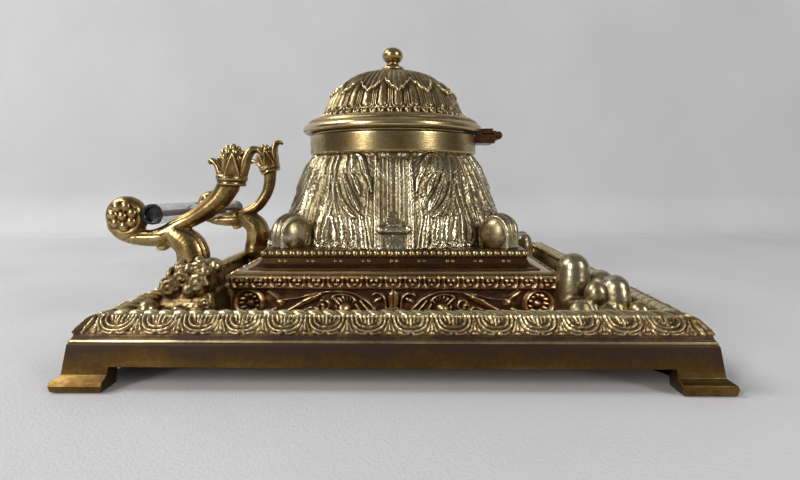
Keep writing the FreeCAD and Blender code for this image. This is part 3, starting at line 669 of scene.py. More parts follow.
def tray():
    front = spaced([(80.0, BAND_TOP), (80.0, 12.2), (79.3, 13.2), (78.2, 14.9), (76.6, 16.6),
        (75.0, 17.5)], 0.2, False)
    back = [(73.6, 17.2), (71.3, 15.4), (70.2, 12.5), (69.6, FLOOR + 0.4), (69.2, FLOOR),
        (69.2, FLOOR - 2), (76.4, FLOOR - 2), (76.4, BAND_TOP)]
    side = square_side(front, spaced(back, 1.2, False), rim_relief, 0.2)
    four_sides("tray_border_", side, "tray", BORDER, 45, 0.45)
    rope_z = ROPE_TOP - 1.9
    ropes = []
    count = 560
    share = np.linspace(-1, 1, count)[:, None]
    turn = np.linspace(0, TAU, 28, endpoint=False)[None, :]

    twist = turn + share * ROPE_HALF * TAU / ROPE_LEAD
    radius = 1.45 + 0.5 * np.abs(np.sin(1.5 * twist)) ** 0.7
    out = ROPE_HALF + radius * np.cos(turn)
    verts = np.stack([out, share * out, rope_z + radius * np.sin(turn) + 0 * share], -1)
    for rotated in quarter_turns(verts):
        ropes.append(swept(rotated, False))
    piece("tray_rope", ropes, ["tray"], CAST, passes=20, depth=0.3)
    steps = np.linspace(-FLOOR_HALF, FLOOR_HALF, 160)
    x, y = np.meshgrid(steps, steps, indexing="ij")
    z = FLOOR + 0.05 * ripple(x, y, 8, 6.0)
    upper = np.stack([x, y, z], -1).reshape(-1, 3)
    n = len(steps)
    faces = grid_quads(n, n)
    lower = upper - np.array([0, 0, 1.9])
    edge = list(range(0, n)) + [k * n + n - 1 for k in range(1, n)] + [(n - 1) * n + k
        for k in range(n - 2, -1, -1)]
    edge += [k * n for k in range(n - 2, 0, -1)]
    count = n * n
    edge = np.array(edge)
    after = np.roll(edge, -1)
    walls = np.stack([edge, after, after + count, edge + count], 1)
    piece("tray_floor", [(np.vstack([upper, lower]), [faces, faces[:, ::-1] + count, walls])], ["tray"],
        DARK_CAST, depth=0.5)


tray()


# ---- plinth and table ----
def frieze_relief(side, up, high):
    """Mirrored scrollwork: spear leaf, shell under an arch, horn and medallion; then the leaf moulding."""
    w, z = np.abs(side), high
    line = drawing(w, z)
    spear = top(line([(0, 19.2), (0, 17), (0, 13.2)], [0.3, 1.9, 1.3], 1.0) - line([(0, 18.5), (0, 13)],
        0.22, 0.45), line([(1.1, 17.6), (1.2, 15.0), (0.8, 13)], [0.3, 0.4, 0.2], 0.9))
    hook = line([(6.4, 16.8), (5.6, 17.5), (4.3, 17.6), (2.9, 16.5), (2.3, 14.6), (2.3, 12.9)],
        [0.3, 0.5, 0.5, 0.4], 1.0)
    fill = bean(w, z, (4.9, 15.4), 1.7, 0.75, -35, 0.95)
    bar = line([(0, 12.1), (3, 12.0), (5.6, 11.4)], [0.8, 0.8, 0.5], 0.9)
    dots = top(*[bean(w, z, (c, 12.9), 0.35, 0.35, 0, 1.0) for c in (0.4, 1.2, 2.1)])
    arch = line([(5.6, 12.6), (8.6, 15.6), (12.6, 17.7), (18, 18.1), (24.0, 17.3), (28.4, 16.2),
        (33, 15.6)], [0.4, 0.5, 0.45, 0.4, 0.3], 0.8)
    shell = top(line([(18.4, 16.0), (17.2, 17.0), (15.0, 17.2), (12.6, 16.6), (11.2, 15.2)], 0.4, 1.0),
        line([(17.9, 15.9), (17.0, 15.0), (16.2, 14.2)], [0.35, 0.5, 0.3], 0.9),
        bean(w, z, (14.4, 12.9), 2.1, 2.0, 0, 2.2), line([(17.2, 13.6), (16.9, 12.0)], 0.45, 0.9),
        *[line([(14.2 + 1.9 * math.cos(a), 13.2 + 1.9 * math.sin(a)),
        (14.6 + 3.1 * math.cos(a), 13.6 + 3.0 * math.sin(a))], [0.2, 0.45], 0.6) for a in np.linspace(0.5,
        2.6, 6)])
    stroke = top(line([(9.8, 15.2), (8.8, 13.8), (7.4, 12.2)], [0.5, 0.5, 0.25], 1.0),
        line([(11.4, 14.2), (10.6, 12.8), (9.8, 11.4)], 0.35, 0.7))
    volute = top(line([(22.6, 13.6), (21.6, 15.3), (19.9, 15.2), (19.2, 13.8), (20.0, 12.6), (21.4, 12.9)],
        [0.35, 0.5, 0.3], 0.9), bean(w, z, (21.4, 13.9), 0.9, 0.6, 60, 0.9))
    horn = top(line([(33.4, 11.2), (30, 13.0), (26.4, 15.1)], [0.7, 0.9], 1.2),
        line([(26.2, 15.2), (23.6, 16.4)], [1.2, 1.0], 1.4),
        line([(23.4, 16.5), (21.6, 17.3)], [0.55, 0.35], 1.1))
    lower = line([(32.0, 11.0), (28.4, 11.6), (24.6, 13.2), (23.0, 12.4)], [0.4, 0.55, 0.3], 0.7)
    tail = top(line([(37.4, 18.2), (36.4, 17.2), (34.6, 15.9)], [0.35, 0.6, 0.5], 0.9),
        bean(w, z, (33.9, 14.9), 1.3, 0.75, 65, 1.4),
        line([(39.2, 11.0), (37.6, 12.0), (36.0, 12.6)], 0.5, 0.6))
    ring = np.hypot(w - MEDAL_AT[0], z - MEDAL_AT[1])
    angle = np.arctan2(z - MEDAL_AT[1], w - MEDAL_AT[0])
    medal = top(0.9 * bump(ring - 4.0, 0.45), 0.7 * bump(ring, 1.1),
                0.8 * bump(ring - 2.6, 0.75) * (0.55 + 0.45 * np.cos(angle * 11)))
    edge = line([(49.2, 10), (49.2, 18.4)], 0.5, 0.5)
    low = top(spear, hook, fill, bar, dots, arch, shell, stroke, volute, horn, lower, tail, medal, edge)
    pitch = 5.75
    u = np.abs(np.mod(w, pitch) - pitch / 2)
    moulding = top(ridge(u, z, [(0.75, 22.4), (0.75, 20.6), (1.15, 19.5)], [0.3, 0.35, 0.5], 0.7),
        bean(pitch / 2 - u, z, (0.75, 21.4), 0.5, 0.6, 30, 0.7),
        bean(pitch / 2 - u, z, (0, 20.2), 0.55, 0.6, 0, 0.6), 0.35 * bump(z - MOULDING_HIGH, 0.35))
    upper = rise(z - MOULDING_LOW, 0.2) * rise(22.6 - z, 0.15)
    low = 1.25 * low + 0.12 * ripple(side, z, 12, 3.1)
    return np.where(z < MOULDING_LOW, low - 0.3, moulding * upper) + 0.05 * ripple(side, z, 11,
        1.9) * (z < MOULDING_HIGH)


def plinth():
    front = spaced([(PLINTH, FLOOR), (PLINTH, 18.6), (PLINTH + 0.6, 18.8), (PLINTH + 0.8, 19.2),
        (PLINTH + 0.4, 20.6), (PLINTH + 0.7, 22.2), (PLINTH - 0.3, 22.5), (PLINTH - 0.6, 22.7),
        (PLINTH - 1.9, LEDGE_TOP - 0.15), (PLINTH - 2.4, LEDGE_TOP)], 0.19, False)
    back = spaced([(40, LEDGE_TOP), (40, 20.7), (45.5, 20.7), (45.5, FLOOR)], 2.5, False)
    side = square_side(front, back, frieze_relief, 0.19)
    four_sides("plinth_frieze_", side, "plinth", DARK_CAST, 50, 0.35)


plinth()


def table():
    edge = TABLE
    section = [(30, CAP_LOW), (edge + 2.9, CAP_LOW), (edge + 2.9, CAP_LOW + 0.4),
        (edge + 1.7, CAP_LOW + 0.7), (edge + 0.2, 25.2), (edge - 0.7, 27.0), (edge - 0.4, 27.2),
        (edge - 0.4, 29.2), (edge - 0.7, TABLE_TOP), (30, TABLE_TOP)]
    outline = spaced(soften(section, 0.18), 0.7)
    share = np.linspace(-1, 1, 220)[:, None]
    verts = np.stack([outline[None, :, 0] + 0 * share, share * outline[None, :, 0],
        outline[None, :, 1] + 0 * share], -1)
    parts = [swept(rotated, False) for rotated in quarter_turns(verts)]
    beads, nails = [], []
    count = 38
    bead_verts, bead_faces = lens(1.02, 1.0, 18, 7)
    for k in range(count):
        y = (k + 0.5) / count * 2 * edge - edge
        for rotated in quarter_turns((bead_verts[:, [2, 0, 1]] * (0.9, 1, 1)) + (edge - 0.75, y, 28.3)):
            beads.append((rotated, bead_faces))
    nail_verts, nail_faces = lens(0.62, 0.4, 14, 5)
    for k in range(-5, 6):
        for shift in (-0.85, 0.85):
            y = k * 8.8 + shift
            if abs(y) < edge:
                for rotated in quarter_turns(nail_verts[:, [2, 0, 1]] + (edge - 0.1, y, 25.9)):
                    nails.append((rotated, nail_faces))
    piece("table_cove", parts, ["plinth_cap"], TABLE_LOOK, depth=0.4)
    piece("table_beads", beads, ["plinth_cap"], CAST, passes=6, depth=0.2)
    piece("table_nails", nails, ["plinth_cap"], CAST, passes=4, depth=0.6)


table()


# ---- font ----
BELL = curve([(TABLE - 0.5, TABLE_TOP), (40.1, 37.8), (37.8, 43.8), (35.7, 49.4), (33.3, 55.6),
    (30.0, FONT_TOP)], 8)


def bell_relief(angle, up, radius, high):
    """Each side: a U-ended tongue between reeds, acanthus leaves, folds and ribs at the corners."""
    quarter = np.mod(angle + TAU / 8, TAU / 4) - TAU / 8
    w, z = radius * np.sin(np.abs(quarter)), high
    line = drawing(w, z)
    tongue = top(line([(2.0, 61), (2.0, 41.5), (1.5, 39.8), (0, 39.2)], 0.42, 0.8),
        line([(3.4, 61), (3.4, 41), (2.5, 38.2), (0, 37.2)], 0.45, 0.6),
        line([(1.0, 59), (1.0, 42)], 0.3, 0.3))
    reeds = top(line([(5.9, 60.4), (5.6, 55), (5.9, 46), (5.9, 38), (6.0, 29.6)],
        [0.5, 1.0, 1.0, 0.8, 0.7], 1.35), line([(4.7, 57), (4.8, 42), (5.1, 31)], [0.3, 0.5, 0.5], 0.85),
        line([(8.0, 50), (8.6, 42), (8.9, 39), (7.9, 33), (7.3, 29.6)], [0.25, 0.45, 0.5, 0.4, 0.4], 1.2))
    leaf = top(line([(12.4, 60), (10.4, 58.0), (9.4, 54), (8.0, 51.2), (7.1, 47.4)],
        [1.0, 1.5, 1.3, 1.1, 0.4], 1.9), line([(13.8, 59.6), (13.6, 56.4), (13.4, 54)], [0.7, 1.2, 0.7],
        1.5), line([(13.9, 53.6), (12.8, 51.6), (11.6, 48.8), (10.8, 46.6)], [0.5, 1.1, 1.2, 0.4], 1.9),
        line([(16.6, 54.5), (15.6, 50.6), (14.2, 47.0), (12.4, 43.9), (11.2, 41.6)],
        [0.4, 0.9, 1.3, 1.5, 0.6], 2.0), line([(18.6, 50.5), (17.8, 46.5), (16.2, 43.2), (14.4, 40.8),
        (12.8, 39.6)], [0.35, 0.7, 1.2, 1.4, 0.7], 1.8),
        line([(20.4, 53), (20.0, 48.5), (19.5, 44.6), (18.8, 41.4), (18.2, 39.6)],
        [0.3, 0.6, 0.6, 0.9, 0.5], 1.4), line([(15.4, 59.4), (16.0, 56.2), (15.8, 54)], [0.5, 0.8, 0.4],
        0.9), bean(w, z, (9.4, 44.4), 1.9, 0.6, 100, 0.9))
    veins = top(line([(12.9, 53.0), (11.6, 49.6)], 0.2, 0.7),
        line([(15.3, 50), (13.6, 45.6), (12.2, 43)], 0.25, 0.8),
        line([(10.4, 57.6), (9.2, 53.6)], 0.25, 0.6), line([(17.0, 45), (15.2, 42)], 0.25, 0.7))
    folds = top(*[line([(a + 0.5, 39.8 - 0.2 * k), (a, 35), (a - 0.6, 29.4)], [1.0, 1.5, 1.5], 1.3 - 0.12 * k)
                  for k, a in enumerate((10.3, 13.6, 16.9, 20.0))])
    degrees = np.degrees(np.abs(quarter)) + 1.1 * np.sin(z / 6.0) + 0.8 * np.sin(z / 3.4
        + np.degrees(quarter) / 3)
    lean = degrees - 0.07 * (z - 45)
    rib = (0.5 + 0.5 * np.cos((lean - 45) * TAU / 5.4)) ** 0.9 * (1.15 + 0.25 * np.sin(lean * 1.7))
    rib = rib + 0.16 * (0.5 + 0.5 * np.cos((lean - 44) * TAU / 2.1)) * (0.5 + 0.5 * np.sin(z / 4 + lean))
    ribs = 0.85 * rib * rise(lean - 29.5, 2.0)
    tablet = top(0.3 * rise(5.4 - w, 0.4) * rise(34.4 - z, 0.5), line([(0, 35.7), (4.4, 35.7)], 1.45, 1.9))
    recess = 0.7 * rise(4.3 - w, 0.5)
    whole = top(tongue, reeds, np.maximum(leaf - veins * (leaf > 0.3), 0), folds, ribs, tablet) - recess
    fade = rise(FONT_TOP - z, 1.2) * rise(z - TABLE_TOP, 0.4)
    rough = rise(33.5 - z, 1.5) * (w > 11)
    grain = 0.06 * ripple(w, z, 21, 1.6) + 0.1 * ripple(w, z, 22, 5.0) + 0.3 * rough * ripple(w, z, 23, 1.2)
    return (0.68 * whole - 0.35 + 0.7 * grain + 0.05 * ripple(w, z, 24, 0.9)) * fade


BELL_TURN = math.radians(2.1)


def font():
    inner = BELL[::-8].copy()
    inner[:, 0] -= 3.0
    outer = spaced(BELL, 0.2, False)
    fine = 400
    for k, name in enumerate(SIDES):
        verts, faces = round_part(outer, inner, bell_relief, fine, start=(k - 0.5) * TAU / 4, turn=TAU / 4)
        x, y, z = verts.T
        verts = np.stack([*spun(x, y, BELL_TURN), z], 1)
        piece("font_relief_" + name, [(verts + BELL_AT, faces)], ["font_body"], PALE,
            passes=60, depth=0.8)
    r, low = COLLAR_R, FONT_TOP
    ring = soften([(r - 0.45, low), (r, low + 0.4), (r, COLLAR_TOP), (27.5, COLLAR_TOP), (27.5, 64.9),
        (24.4, 64.9), (24.4, low)], 0.25)
    piece("font_collar_turned", [turned(spaced(ring, 0.5), 192, at=BELL_AT)], ["font_collar"], BRIGHT,
        depth=0.5)


font()


def ink_pot():
    low, high = span("ink_pot")
    r, bottom, lip = 24.0, low[2], high[2]
    outline = [(0.05, bottom), (r - 4, bottom), (r - 1.2, bottom + 1.2), (r, bottom + 4), (r, lip - 2),
        (high[0], lip - 2), (high[0], lip), (r - 2.5, lip), (r - 2.5, bottom + 6), (r - 3.5, bottom + 3.9),
        (r - 6, bottom + 3), (0.05, bottom + 3)]
    piece("ink_pot_glazed", [turned(spaced(soften(outline, 0.4), 0.9), 128, at=BELL_AT)], ["ink_pot"],
        GLAZE)


ink_pot()


# ---- lid ----
GADROONS = 28
DOME = curve([(29.6, 73.2), (27.7, 74.4), (25.6, 76.9), (22.5, 82.4), (15.5, 88.6), (8.0, 91.0),
    (1.6, 91.4)], 10)


def dome_relief(angle, up, radius, high):
    """Beaded leaf band, gadroons with outlined round ends, and pointed petals round the finial."""
    turn = angle * GADROONS / TAU
    q = np.abs(np.mod(turn, 1) - 0.5) * 2
    width = radius * TAU / GADROONS / 2
    start = 4.2
    low_end = np.clip((start + 2.0 - up) / 2.2, 0, 2)
    qq = np.sqrt(q ** 2 + (low_end * 0.72) ** 2)
    tongue = 1.0 * bump(qq, 0.6) ** 0.5
    rim = 0.75 * bump(qq - 0.76, 0.13)
    dart = 0.65 * bump(1 - q, 0.16) * (up > start - 0.6)
    body = top(tongue, rim, dart) * rise(up - start + 0.6, 0.4)
    half = np.abs(np.mod(turn * 2 + 0.5, 1) - 0.5) * 2
    band = top(0.8 * np.clip(1 - ((half - 0.35 - 0.25 * (up - 2.6)) / 0.28) ** 2 - ((up - 2.7) / 1.2) ** 2,
        0, 1) ** 0.5, 0.5 * bump(up - 1.0, 0.4), 0.45 * bump(up - 4.2, 0.3))
    petal_turn = np.mod(turn / 2 + 0.25, 1)
    p = np.abs(petal_turn - 0.5) * 2
    frill = 0.8 * np.abs(np.sin(math.pi * petal_turn * 5))
    edge = 10.4 + 6.0 * p ** 1.3 - frill
    inside = rise(up - edge, 0.35)
    border = 0.9 * bump(up - edge - 0.8, 1.0)
    pleat = 0.3 + 0.55 * np.abs(np.cos(math.pi * petal_turn * 5)) ** 0.8 - 0.6 * rise(p - 0.8, 0.2)
    petals = inside * (0.5 + 0.6 * pleat + 0.8 * border)
    whole = np.where(inside > 0, np.maximum(petals, body * (1 - inside)), top(body, band))
    fade = rise(up, 0.6) * rise(radius - 4.4, 4.5)
    return (whole - 0.4 + 0.05 * ripple(angle * 25, up, 31, 1.7)) * fade * np.clip(width / 1.2, 0.3, 1)


def lid():
    inner = curve([(1.6, 89.6), (7.6, 89.1), (13.8, 86.6), (20.2, 81.2), (23.6, 76.2)], 2)
    outer = spaced(DOME, 0.2, False)
    for k, name in enumerate(("right", "left")):
        verts, faces = round_part(outer, np.vstack([inner, [(27.0, 73.4)]]), dome_relief, 28 * 15 + 1,
            start=(k - 0.5) * TAU / 2, turn=TAU / 2)
        piece("lid_dome_" + name, [(verts + BELL_AT, faces)], ["lid_shell"], CAST,
            body="lid", passes=45, depth=0.4)
    seat = LID_LOW
    low = seat + 0.8
    flange = [(27.6, seat), (30.0, seat), (30.0, low), (LID_R - 0.5, low), (LID_R, low + 0.6),
        (LID_R, low + 1.6), (33.5, low + 2.4), (32.6, low + 2.95), (32.1, low + 3.3), (31.95, low + 3.8),
        (31.9, low + 3.9), (31.6, low + 4.3), (31.0, low + 4.65), (30.2, low + 4.9), (29.2, low + 4.95),
        (28.2, low + 4.8), (27.0, 73.2), (27.6, 71.5)]
    piece("lid_flange", [turned(spaced(soften(flange, 0.3), 0.4), 224, at=BELL_AT)], ["lid_shell"], BRIGHT,
        body="lid", passes=25, depth=0.25)
    crown = 91.4
    wide, tall = span("lid_finial")[1][0] - 0.4, 3.1
    middle = FINIAL_TOP - tall
    sphere = [(wide * math.cos(a), middle + tall * math.sin(a)) for a in np.radians(np.arange(-56, 90, 6))]
    shape = [(0.02, crown - 5), (1.5, crown - 5), (1.5, crown - 0.5), (3.4, crown - 0.5),
        (3.5, crown + 0.7), (4.1, crown + 1.1), (4.35, crown + 1.6), (4.2, crown + 2.1),
        (3.5, crown + 2.5), (2.6, crown + 2.8), (2.25, crown + 3.3)] + sphere + [(0.02, FINIAL_TOP)]
    piece("lid_finial_turned", [turned(spaced(shape, 0.35), 96, at=BELL_AT)], ["lid_finial"], BRIGHT,
        body="lid", passes=10, depth=0.4)


lid()


# ---- corner scrolls ----
def scroll_field(x, y, z):
    """Reeded scroll along X, standing on z = 0, with a rounded cheek on each side."""
    high, r = 4.8, 6.0
    p = (x, y, z)
    angle_r = np.hypot(y, z - high)
    tread = drum(p, 0, (0, 0, high), r, 3.3, 1.2)
    tread = tread + 0.32 * np.cos(x * TAU / 2.3) * (np.abs(x) < 3.0)
    foot = block(p, (-3.2, -5.8, -1), (3.2, 5.8, high), 0.6)
    body = melt(0.5, tread, foot)
    groove = 0.8 - np.abs(angle_r - 4.9)
    side = rise(np.abs(x) - 2.6, 0.6)
    body = body + 0.4 * np.clip(groove, 0, 0.5) * side
    cheek = egg((np.abs(x), y, z), (1.9, -0.1, high - 0.7), (2.9, 5.5, 5.8))
    return np.maximum(np.minimum(body, cheek), 0.02 - z)


def corner_scrolls():
    verts, faces = skin(scroll_field, (-8, -7, -0.6), (8, 7, 11.6), CELL - 0.02)
    for corner in ("front_right", "front_left", "back_right", "back_left"):
        low, high = span("corner_scroll_" + corner)
        sx, sy = np.sign(low[0] + high[0]), np.sign(low[1] + high[1])
        turn = math.radians(45 if sx * sy < 0 else -45)
        middle = (low + high) / 2
        x, y = spun(verts[:, 0], verts[:, 1], turn)
        place = np.stack([x + middle[0], y + middle[1], verts[:, 2] + TABLE_TOP], 1)
        piece("scroll_" + corner, [(place, faces)], ["corner_scroll_" + corner], PALE,
              passes=25, depth=0.5)


corner_scrolls()


# ---- corner bosses ----
def grit(x, y, z, size, seed):
    return ripple(x + 0.7 * z, y - 0.4 * z, seed, size) * ripple(y + z, x - z, seed + 1, size * 1.3)


def curl(p, centre, size, turns=1.4, flip=1):
    """Small spiral tube in the plane that faces -a, the outer side of a boss."""
    angle = np.linspace(0, TAU * turns, 14)
    r = size * (1 - angle / (TAU * turns) * 0.8)
    path = np.stack([0 * angle + centre[0] - 0.6 * (1 - r / size), centre[1] + flip * r * np.cos(angle),
        centre[2] + r * np.sin(angle), 0 * angle + size * 0.3], 1)
    return limb(p, path, 1)


def front_boss_field(a, b, z):
    """Curly boss; a and b grow from the tray's corner towards the middle."""
    p = (a, b, z)
    base = melt(1.2, block(p, (-7.8, -7.8, -1), (7.8, 7.8, 8.6), 1.8),
        block(p, (-6.8, -7.0, 4), (7.0, 7.2, 11.0), 1.6))
    tiers = [((3.6, 3.6, 14.6), 4.5), ((-4.0, 3.8, 13.0), 4.2), ((3.6, -4.0, 13.2), 4.3),
        ((-3.6, -4.0, 11.4), 3.9), ((-2.2, 0.4, 13.4), 3.9), ((0.4, 4.2, 14.6), 4.1)]
    whole = base
    for centre, radius in tiers:
        whole = melt(0.6, whole, egg(p, centre, (radius, radius * 0.86, radius)))
    curls = []
    for centre, size, flip in (((-7.3, 3.6, 13.4), 2.6, 1), ((-6.4, -0.9, 14.2), 2.4, -1),
            ((-6.7, -4.6, 12.0), 2.3, 1), ((-4.4, 2.6, 17.0), 1.9, 1), ((-3.9, -1.8, 16.2), 1.8, -1),
            ((-7.9, 2.9, 4.4), 2.1, 1), ((-7.9, 6.0, 7.8), 1.7, -1)):
        curls.append(curl(p, centre, size, 1.4, flip))
        swapped = (b, a, z)
        curls.append(curl(swapped, centre, size, 1.4, -flip))
    arch = limb(p, [(-7.9, -4.6, 0.8, 0.7), (-8.2, -4.0, 4.8, 0.7), (-8.2, -1.8, 6.6, 0.7),
        (-8.2, 0.4, 4.8, 0.7), (-7.9, 0.9, 0.6, 0.7)])
    dome = egg(p, (-6.9, -1.8, 3.0), (2.2, 2.2, 3.2))
    beads = [ball(p, at, r) for at, r in (((-1.2, 6.6, 17.2), 1.7), ((-6.0, 5.6, 16.4), 1.7),
        ((-5.0, -2.4, 14.6), 1.8), ((-7.0, 1.0, 11.4), 1.9), ((-4.4, 0.4, 17.0), 1.7),
        ((6.6, -1.2, 17.4), 1.7), ((5.6, -6.0, 16.0), 1.7), ((1.0, -7.0, 12.4), 1.9),
        ((0.4, -4.4, 17.0), 1.6), ((-1.8, 2.8, 17.6), 1.8))]
    whole = melt(0.6, whole, *curls, *beads, arch, dome)
    return np.maximum(whole + 0.08 * grit(a, b, z, 1.7, 41), 0.05 - z)


def back_boss_field(a, b, z):
    """Smooth boss: a tall inner lobe, two lower lobes, a ball between them and a knob outside."""
    p = (a, b, z)
    base = block(p, (-8.6, -8.6, -1), (8.4, 8.4, 8.0), 2.6)
    tall = limb(p, [(3.4, 4.4, 4, 4.8), (3.8, 4.4, 11, 4.8), (4.2, 4.2, 15.8, 4.5)])
    side_lobe = limb(p, [(-4.0, -5.2, 3, 4.0), (-4.0, -5.2, 8.4, 4.1), (-3.6, -5.0, 11.4, 3.9)])
    other = limb(p, [(5.2, -4.2, 3, 4.0), (5.2, -4.2, 8.4, 4.1), (5.0, -4.0, 11.4, 3.9)])
    between = egg(p, (-5.6, 0.9, 10.2), (3.0, 3.1, 3.9))
    cheek = egg(p, (-6.2, 5.0, 4.2), (3.0, 3.8, 4.8))
    knob = ball(p, (-8.3, 0.6, 2.6), 2.2)
    neck = limb(p, [(-6.8, 2.4, 8.0, 1.4), (-8.2, 1.6, 5.4, 1.2), (-8.6, 0.8, 3.4, 1.4)])
    stem = limb(p, [(-7.4, -4.2, 7.4, 1.0), (-8.6, -6.0, 4.4, 1.0), (-8.8, -8.0, 1.0, 1.0)])
    whole = melt(0.5, melt(1.0, base, tall, side_lobe, other), between, cheek, knob, neck, stem)
    rough = rise(1.5 - b, 2.0) * rise(5.5 - z, 2.0)
    whole = whole + 0.5 * grit(a, b, z, 1.5, 51) * rough + 0.05 * grit(a, b, z, 3.0, 61)
    return np.maximum(whole, 0.05 - z)


def corner_bosses():
    fields = {"front": front_boss_field, "back": back_boss_field}
    for end, field in fields.items():
        verts, faces = skin(field, (-11, -11, -0.6), (10.5, 10.5, 21.5), CELL)
        for hand, sx in (("right", 1), ("left", -1)):
            sy = 1 if end == "back" else -1
            place = np.stack([sx * (57.0 - verts[:, 0]), sy * (57.0 - verts[:, 1]), verts[:, 2] + FLOOR], 1)
            node = "corner_boss_" + end + "_" + hand
            piece("boss_" + end + "_" + hand, [(place, faces)], [node], CAST if end == "front" else PALE,
                passes=25, depth=0.6)


corner_bosses()


# ---- pen rests ----
SADDLE = [(-90.5, 36.7, 2.6), (-88.2, 34.6, 2.8), (-84.4, 33.3, 2.8), (-80.5, 32.8, 2.9),
    (-76.6, 33.2, 3.1), (-72.8, 35.2, 2.8)]
HORNS = {"right": [(-69.2, 37.4, 2.4), (-65.1, 39.3, 2.6), (-60.5, 42.1, 3.0), (-56.4, 45.4, 3.3),
    (-53.3, 49.6, 3.5)], "left": [(-69.6, 36.9, 2.4), (-65.2, 39.8, 2.4), (-61.5, 44.8, 2.4),
    (-59.9, 49.4, 2.6), (-59.4, 54.4, 2.9)]}
CUPS = {"right": (-52.3, 51.3, -4), "left": (-59.4, 56.2, 17)}
LEG = [(-73.6, 34.6, 2.2), (-70.6, 33.2, 4.0), (-67.2, 30.6, 4.9), (-65.9, 27.2, 5.3), (-66.6, 23.4, 4.9),
    (-67.2, 20.8, 4.9), (-67.2, 18.6, 5.4)]
SCROLL_Y, SCROLL_Z = -86.95, 39.8


def upright(stations):
    """Give (y, z, radius) stations an x of 0."""
    return [(0, y, z, r) for y, z, r in stations]


def cup_field(x, y, z):
    """Ringed neck, calyx leaves and a seed cluster, about the neck's centre."""
    p = (x, y, z)
    around = np.hypot(x, y)
    turn = np.arctan2(x, -y)
    ring = np.minimum(drum(p, 2, (0, 0, 0.8), 5.0, 1.15, 1.0), drum(p, 2, (0, 0, -0.9), 4.6, 0.7, 0.6))
    ring = np.minimum(ring, drum(p, 2, (0, 0, 2.2), 4.3, 0.5, 0.45))
    flare = 3.8 + 0.08 * np.clip(z, 0, 7)
    calyx = np.maximum(around - flare + 0.3 * np.cos(turn * 8), np.abs(z - 3.6) - 3.6)
    blade_half = 2.5 * rise(8.9 - z, 6.6) ** 0.8
    off = (np.arctan2(np.abs(x), -y) - TAU / 4 - 0.3) * around
    edge = 0.45 * bump(np.abs(off) - blade_half + 0.35, 0.38)
    shell = np.abs(around - flare - 0.25) - 0.4 - edge
    blade = np.maximum(np.maximum(shell, np.abs(off) - blade_half), np.maximum(0.6 - z, z - 8.8))
    seeds = egg(p, (0, 0.2, 7.0), (3.3, 3.3, 4.0))
    for count, r, h, phase in ((9, 3.2, 7.4, 0.2), (8, 2.9, 9.0, 0.5), (5, 1.7, 10.3, 0.1), (1, 0, 10.9, 0)):
        for n in range(count):
            a = TAU * n / count + phase
            seeds = np.minimum(seeds, ball(p, (r * math.cos(a), r * math.sin(a) + 0.2, h), 0.95))
    front = limb((0.5 * x, y, z), [(0, -3.0, 1.6, 1.6), (0, -3.8, 3.6, 1.4), (0, -5.1, 5.2, 1.05),
        (0, -6.4, 6.0, 0.9), (0, -7.0, 5.4, 0.75)])
    back = limb((0.55 * x, y, z), [(0, 3.2, 1.6, 1.6), (0, 4.0, 4.6, 1.55), (0, 4.5, 7.1, 1.5),
        (0, 5.4, 9.2, 1.4), (0, 6.6, 10.3, 1.25), (0, 8.0, 10.4, 1.0), (0, 9.0, 9.5, 0.7)])
    back = back + 0.35 * bump(x, 0.5) * (z > 2)
    return melt(0.2, melt(0.35, np.minimum(ring, calyx), front, back), blade, seeds)


def rest_field(hand):
    """One pen rest in its own plane x = 0."""
    cup_y, cup_z, lean = CUPS[hand]
    tilt = math.radians(lean)
    arm = upright(SADDLE + HORNS[hand])

    def field(x, y, z):
        p = (x, y, z)
        r = np.hypot(y - SCROLL_Y, z - SCROLL_Z)
        turn = np.arctan2(z - SCROLL_Z, y - SCROLL_Y)
        scroll = drum(p, 0, (0, SCROLL_Y, SCROLL_Z), 6.6, 3.3, 3.0)
        dish = rise(5.3 - r, 0.9) * rise(np.abs(x) - 1.8, 0.5)
        scroll = scroll + 0.6 * dish
        petals = 1e3
        for n in range(7):
            a = TAU * n / 7 + 0.3
            centre = (2.9, SCROLL_Y + 3.25 * math.cos(a), SCROLL_Z + 0.3 + 3.25 * math.sin(a))
            petals = np.minimum(petals, egg((np.abs(x), y, z), centre, (1.1, 1.7, 1.6)))
        button = egg((np.abs(x), y, z), (3.0, SCROLL_Y, SCROLL_Z + 0.3), (1.2, 1.6, 1.6))
        neck = limb(p, [(0, -90.5, 36.8, 2.7), (0, -88.4, 34.8, 2.7), (0, -84.6, 33.4, 2.7)])
        bar = limb(p, arm)
        groove = np.abs(np.abs(x) - 1.15)
        above = rise(y + 76, 4) * rise(z - 38, 2)
        bar = bar + 0.3 * bump(groove, 0.4) * above
        saddle_groove = np.abs(z - 34.1 + 0.03 * (y + 80) ** 2 * (y < -80)) * (np.abs(x) > 1.2)
        bar = bar + 0.35 * bump(saddle_groove, 0.4) * (y < -74) * (y > -89)
        leg = limb((1.2 * x, y, z), upright(LEG))
        leg = leg + 0.35 * bump(np.abs(x) - 2.2, 0.5) * (z > 24)
        foot = drum(p, 2, (0, -65.3, 14.2), 4.2, 4.5, 0.5)
        nub = limb(p, [(0, -73.4, 31.4, 1.4), (0, -75.4, 29.7, 1.1), (0, -77.0, 29.4, 0.9)])
        local_y, local_z = spun(y - cup_y, z - cup_z, -tilt)
        near = np.hypot(local_y, local_z - 5) < 12
        cup = np.full(near.shape, FAR)
        cup[near] = cup_field(x[near], local_y[near], local_z[near])
        body = melt(0.9, melt(0.5, scroll, neck), bar, leg, nub)
        body = np.minimum(melt(0.3, body, foot), cup)
        body = melt(0.2, body, np.minimum(petals, button))
        return np.maximum(body, FLOOR + 0.02 - z)
    return field


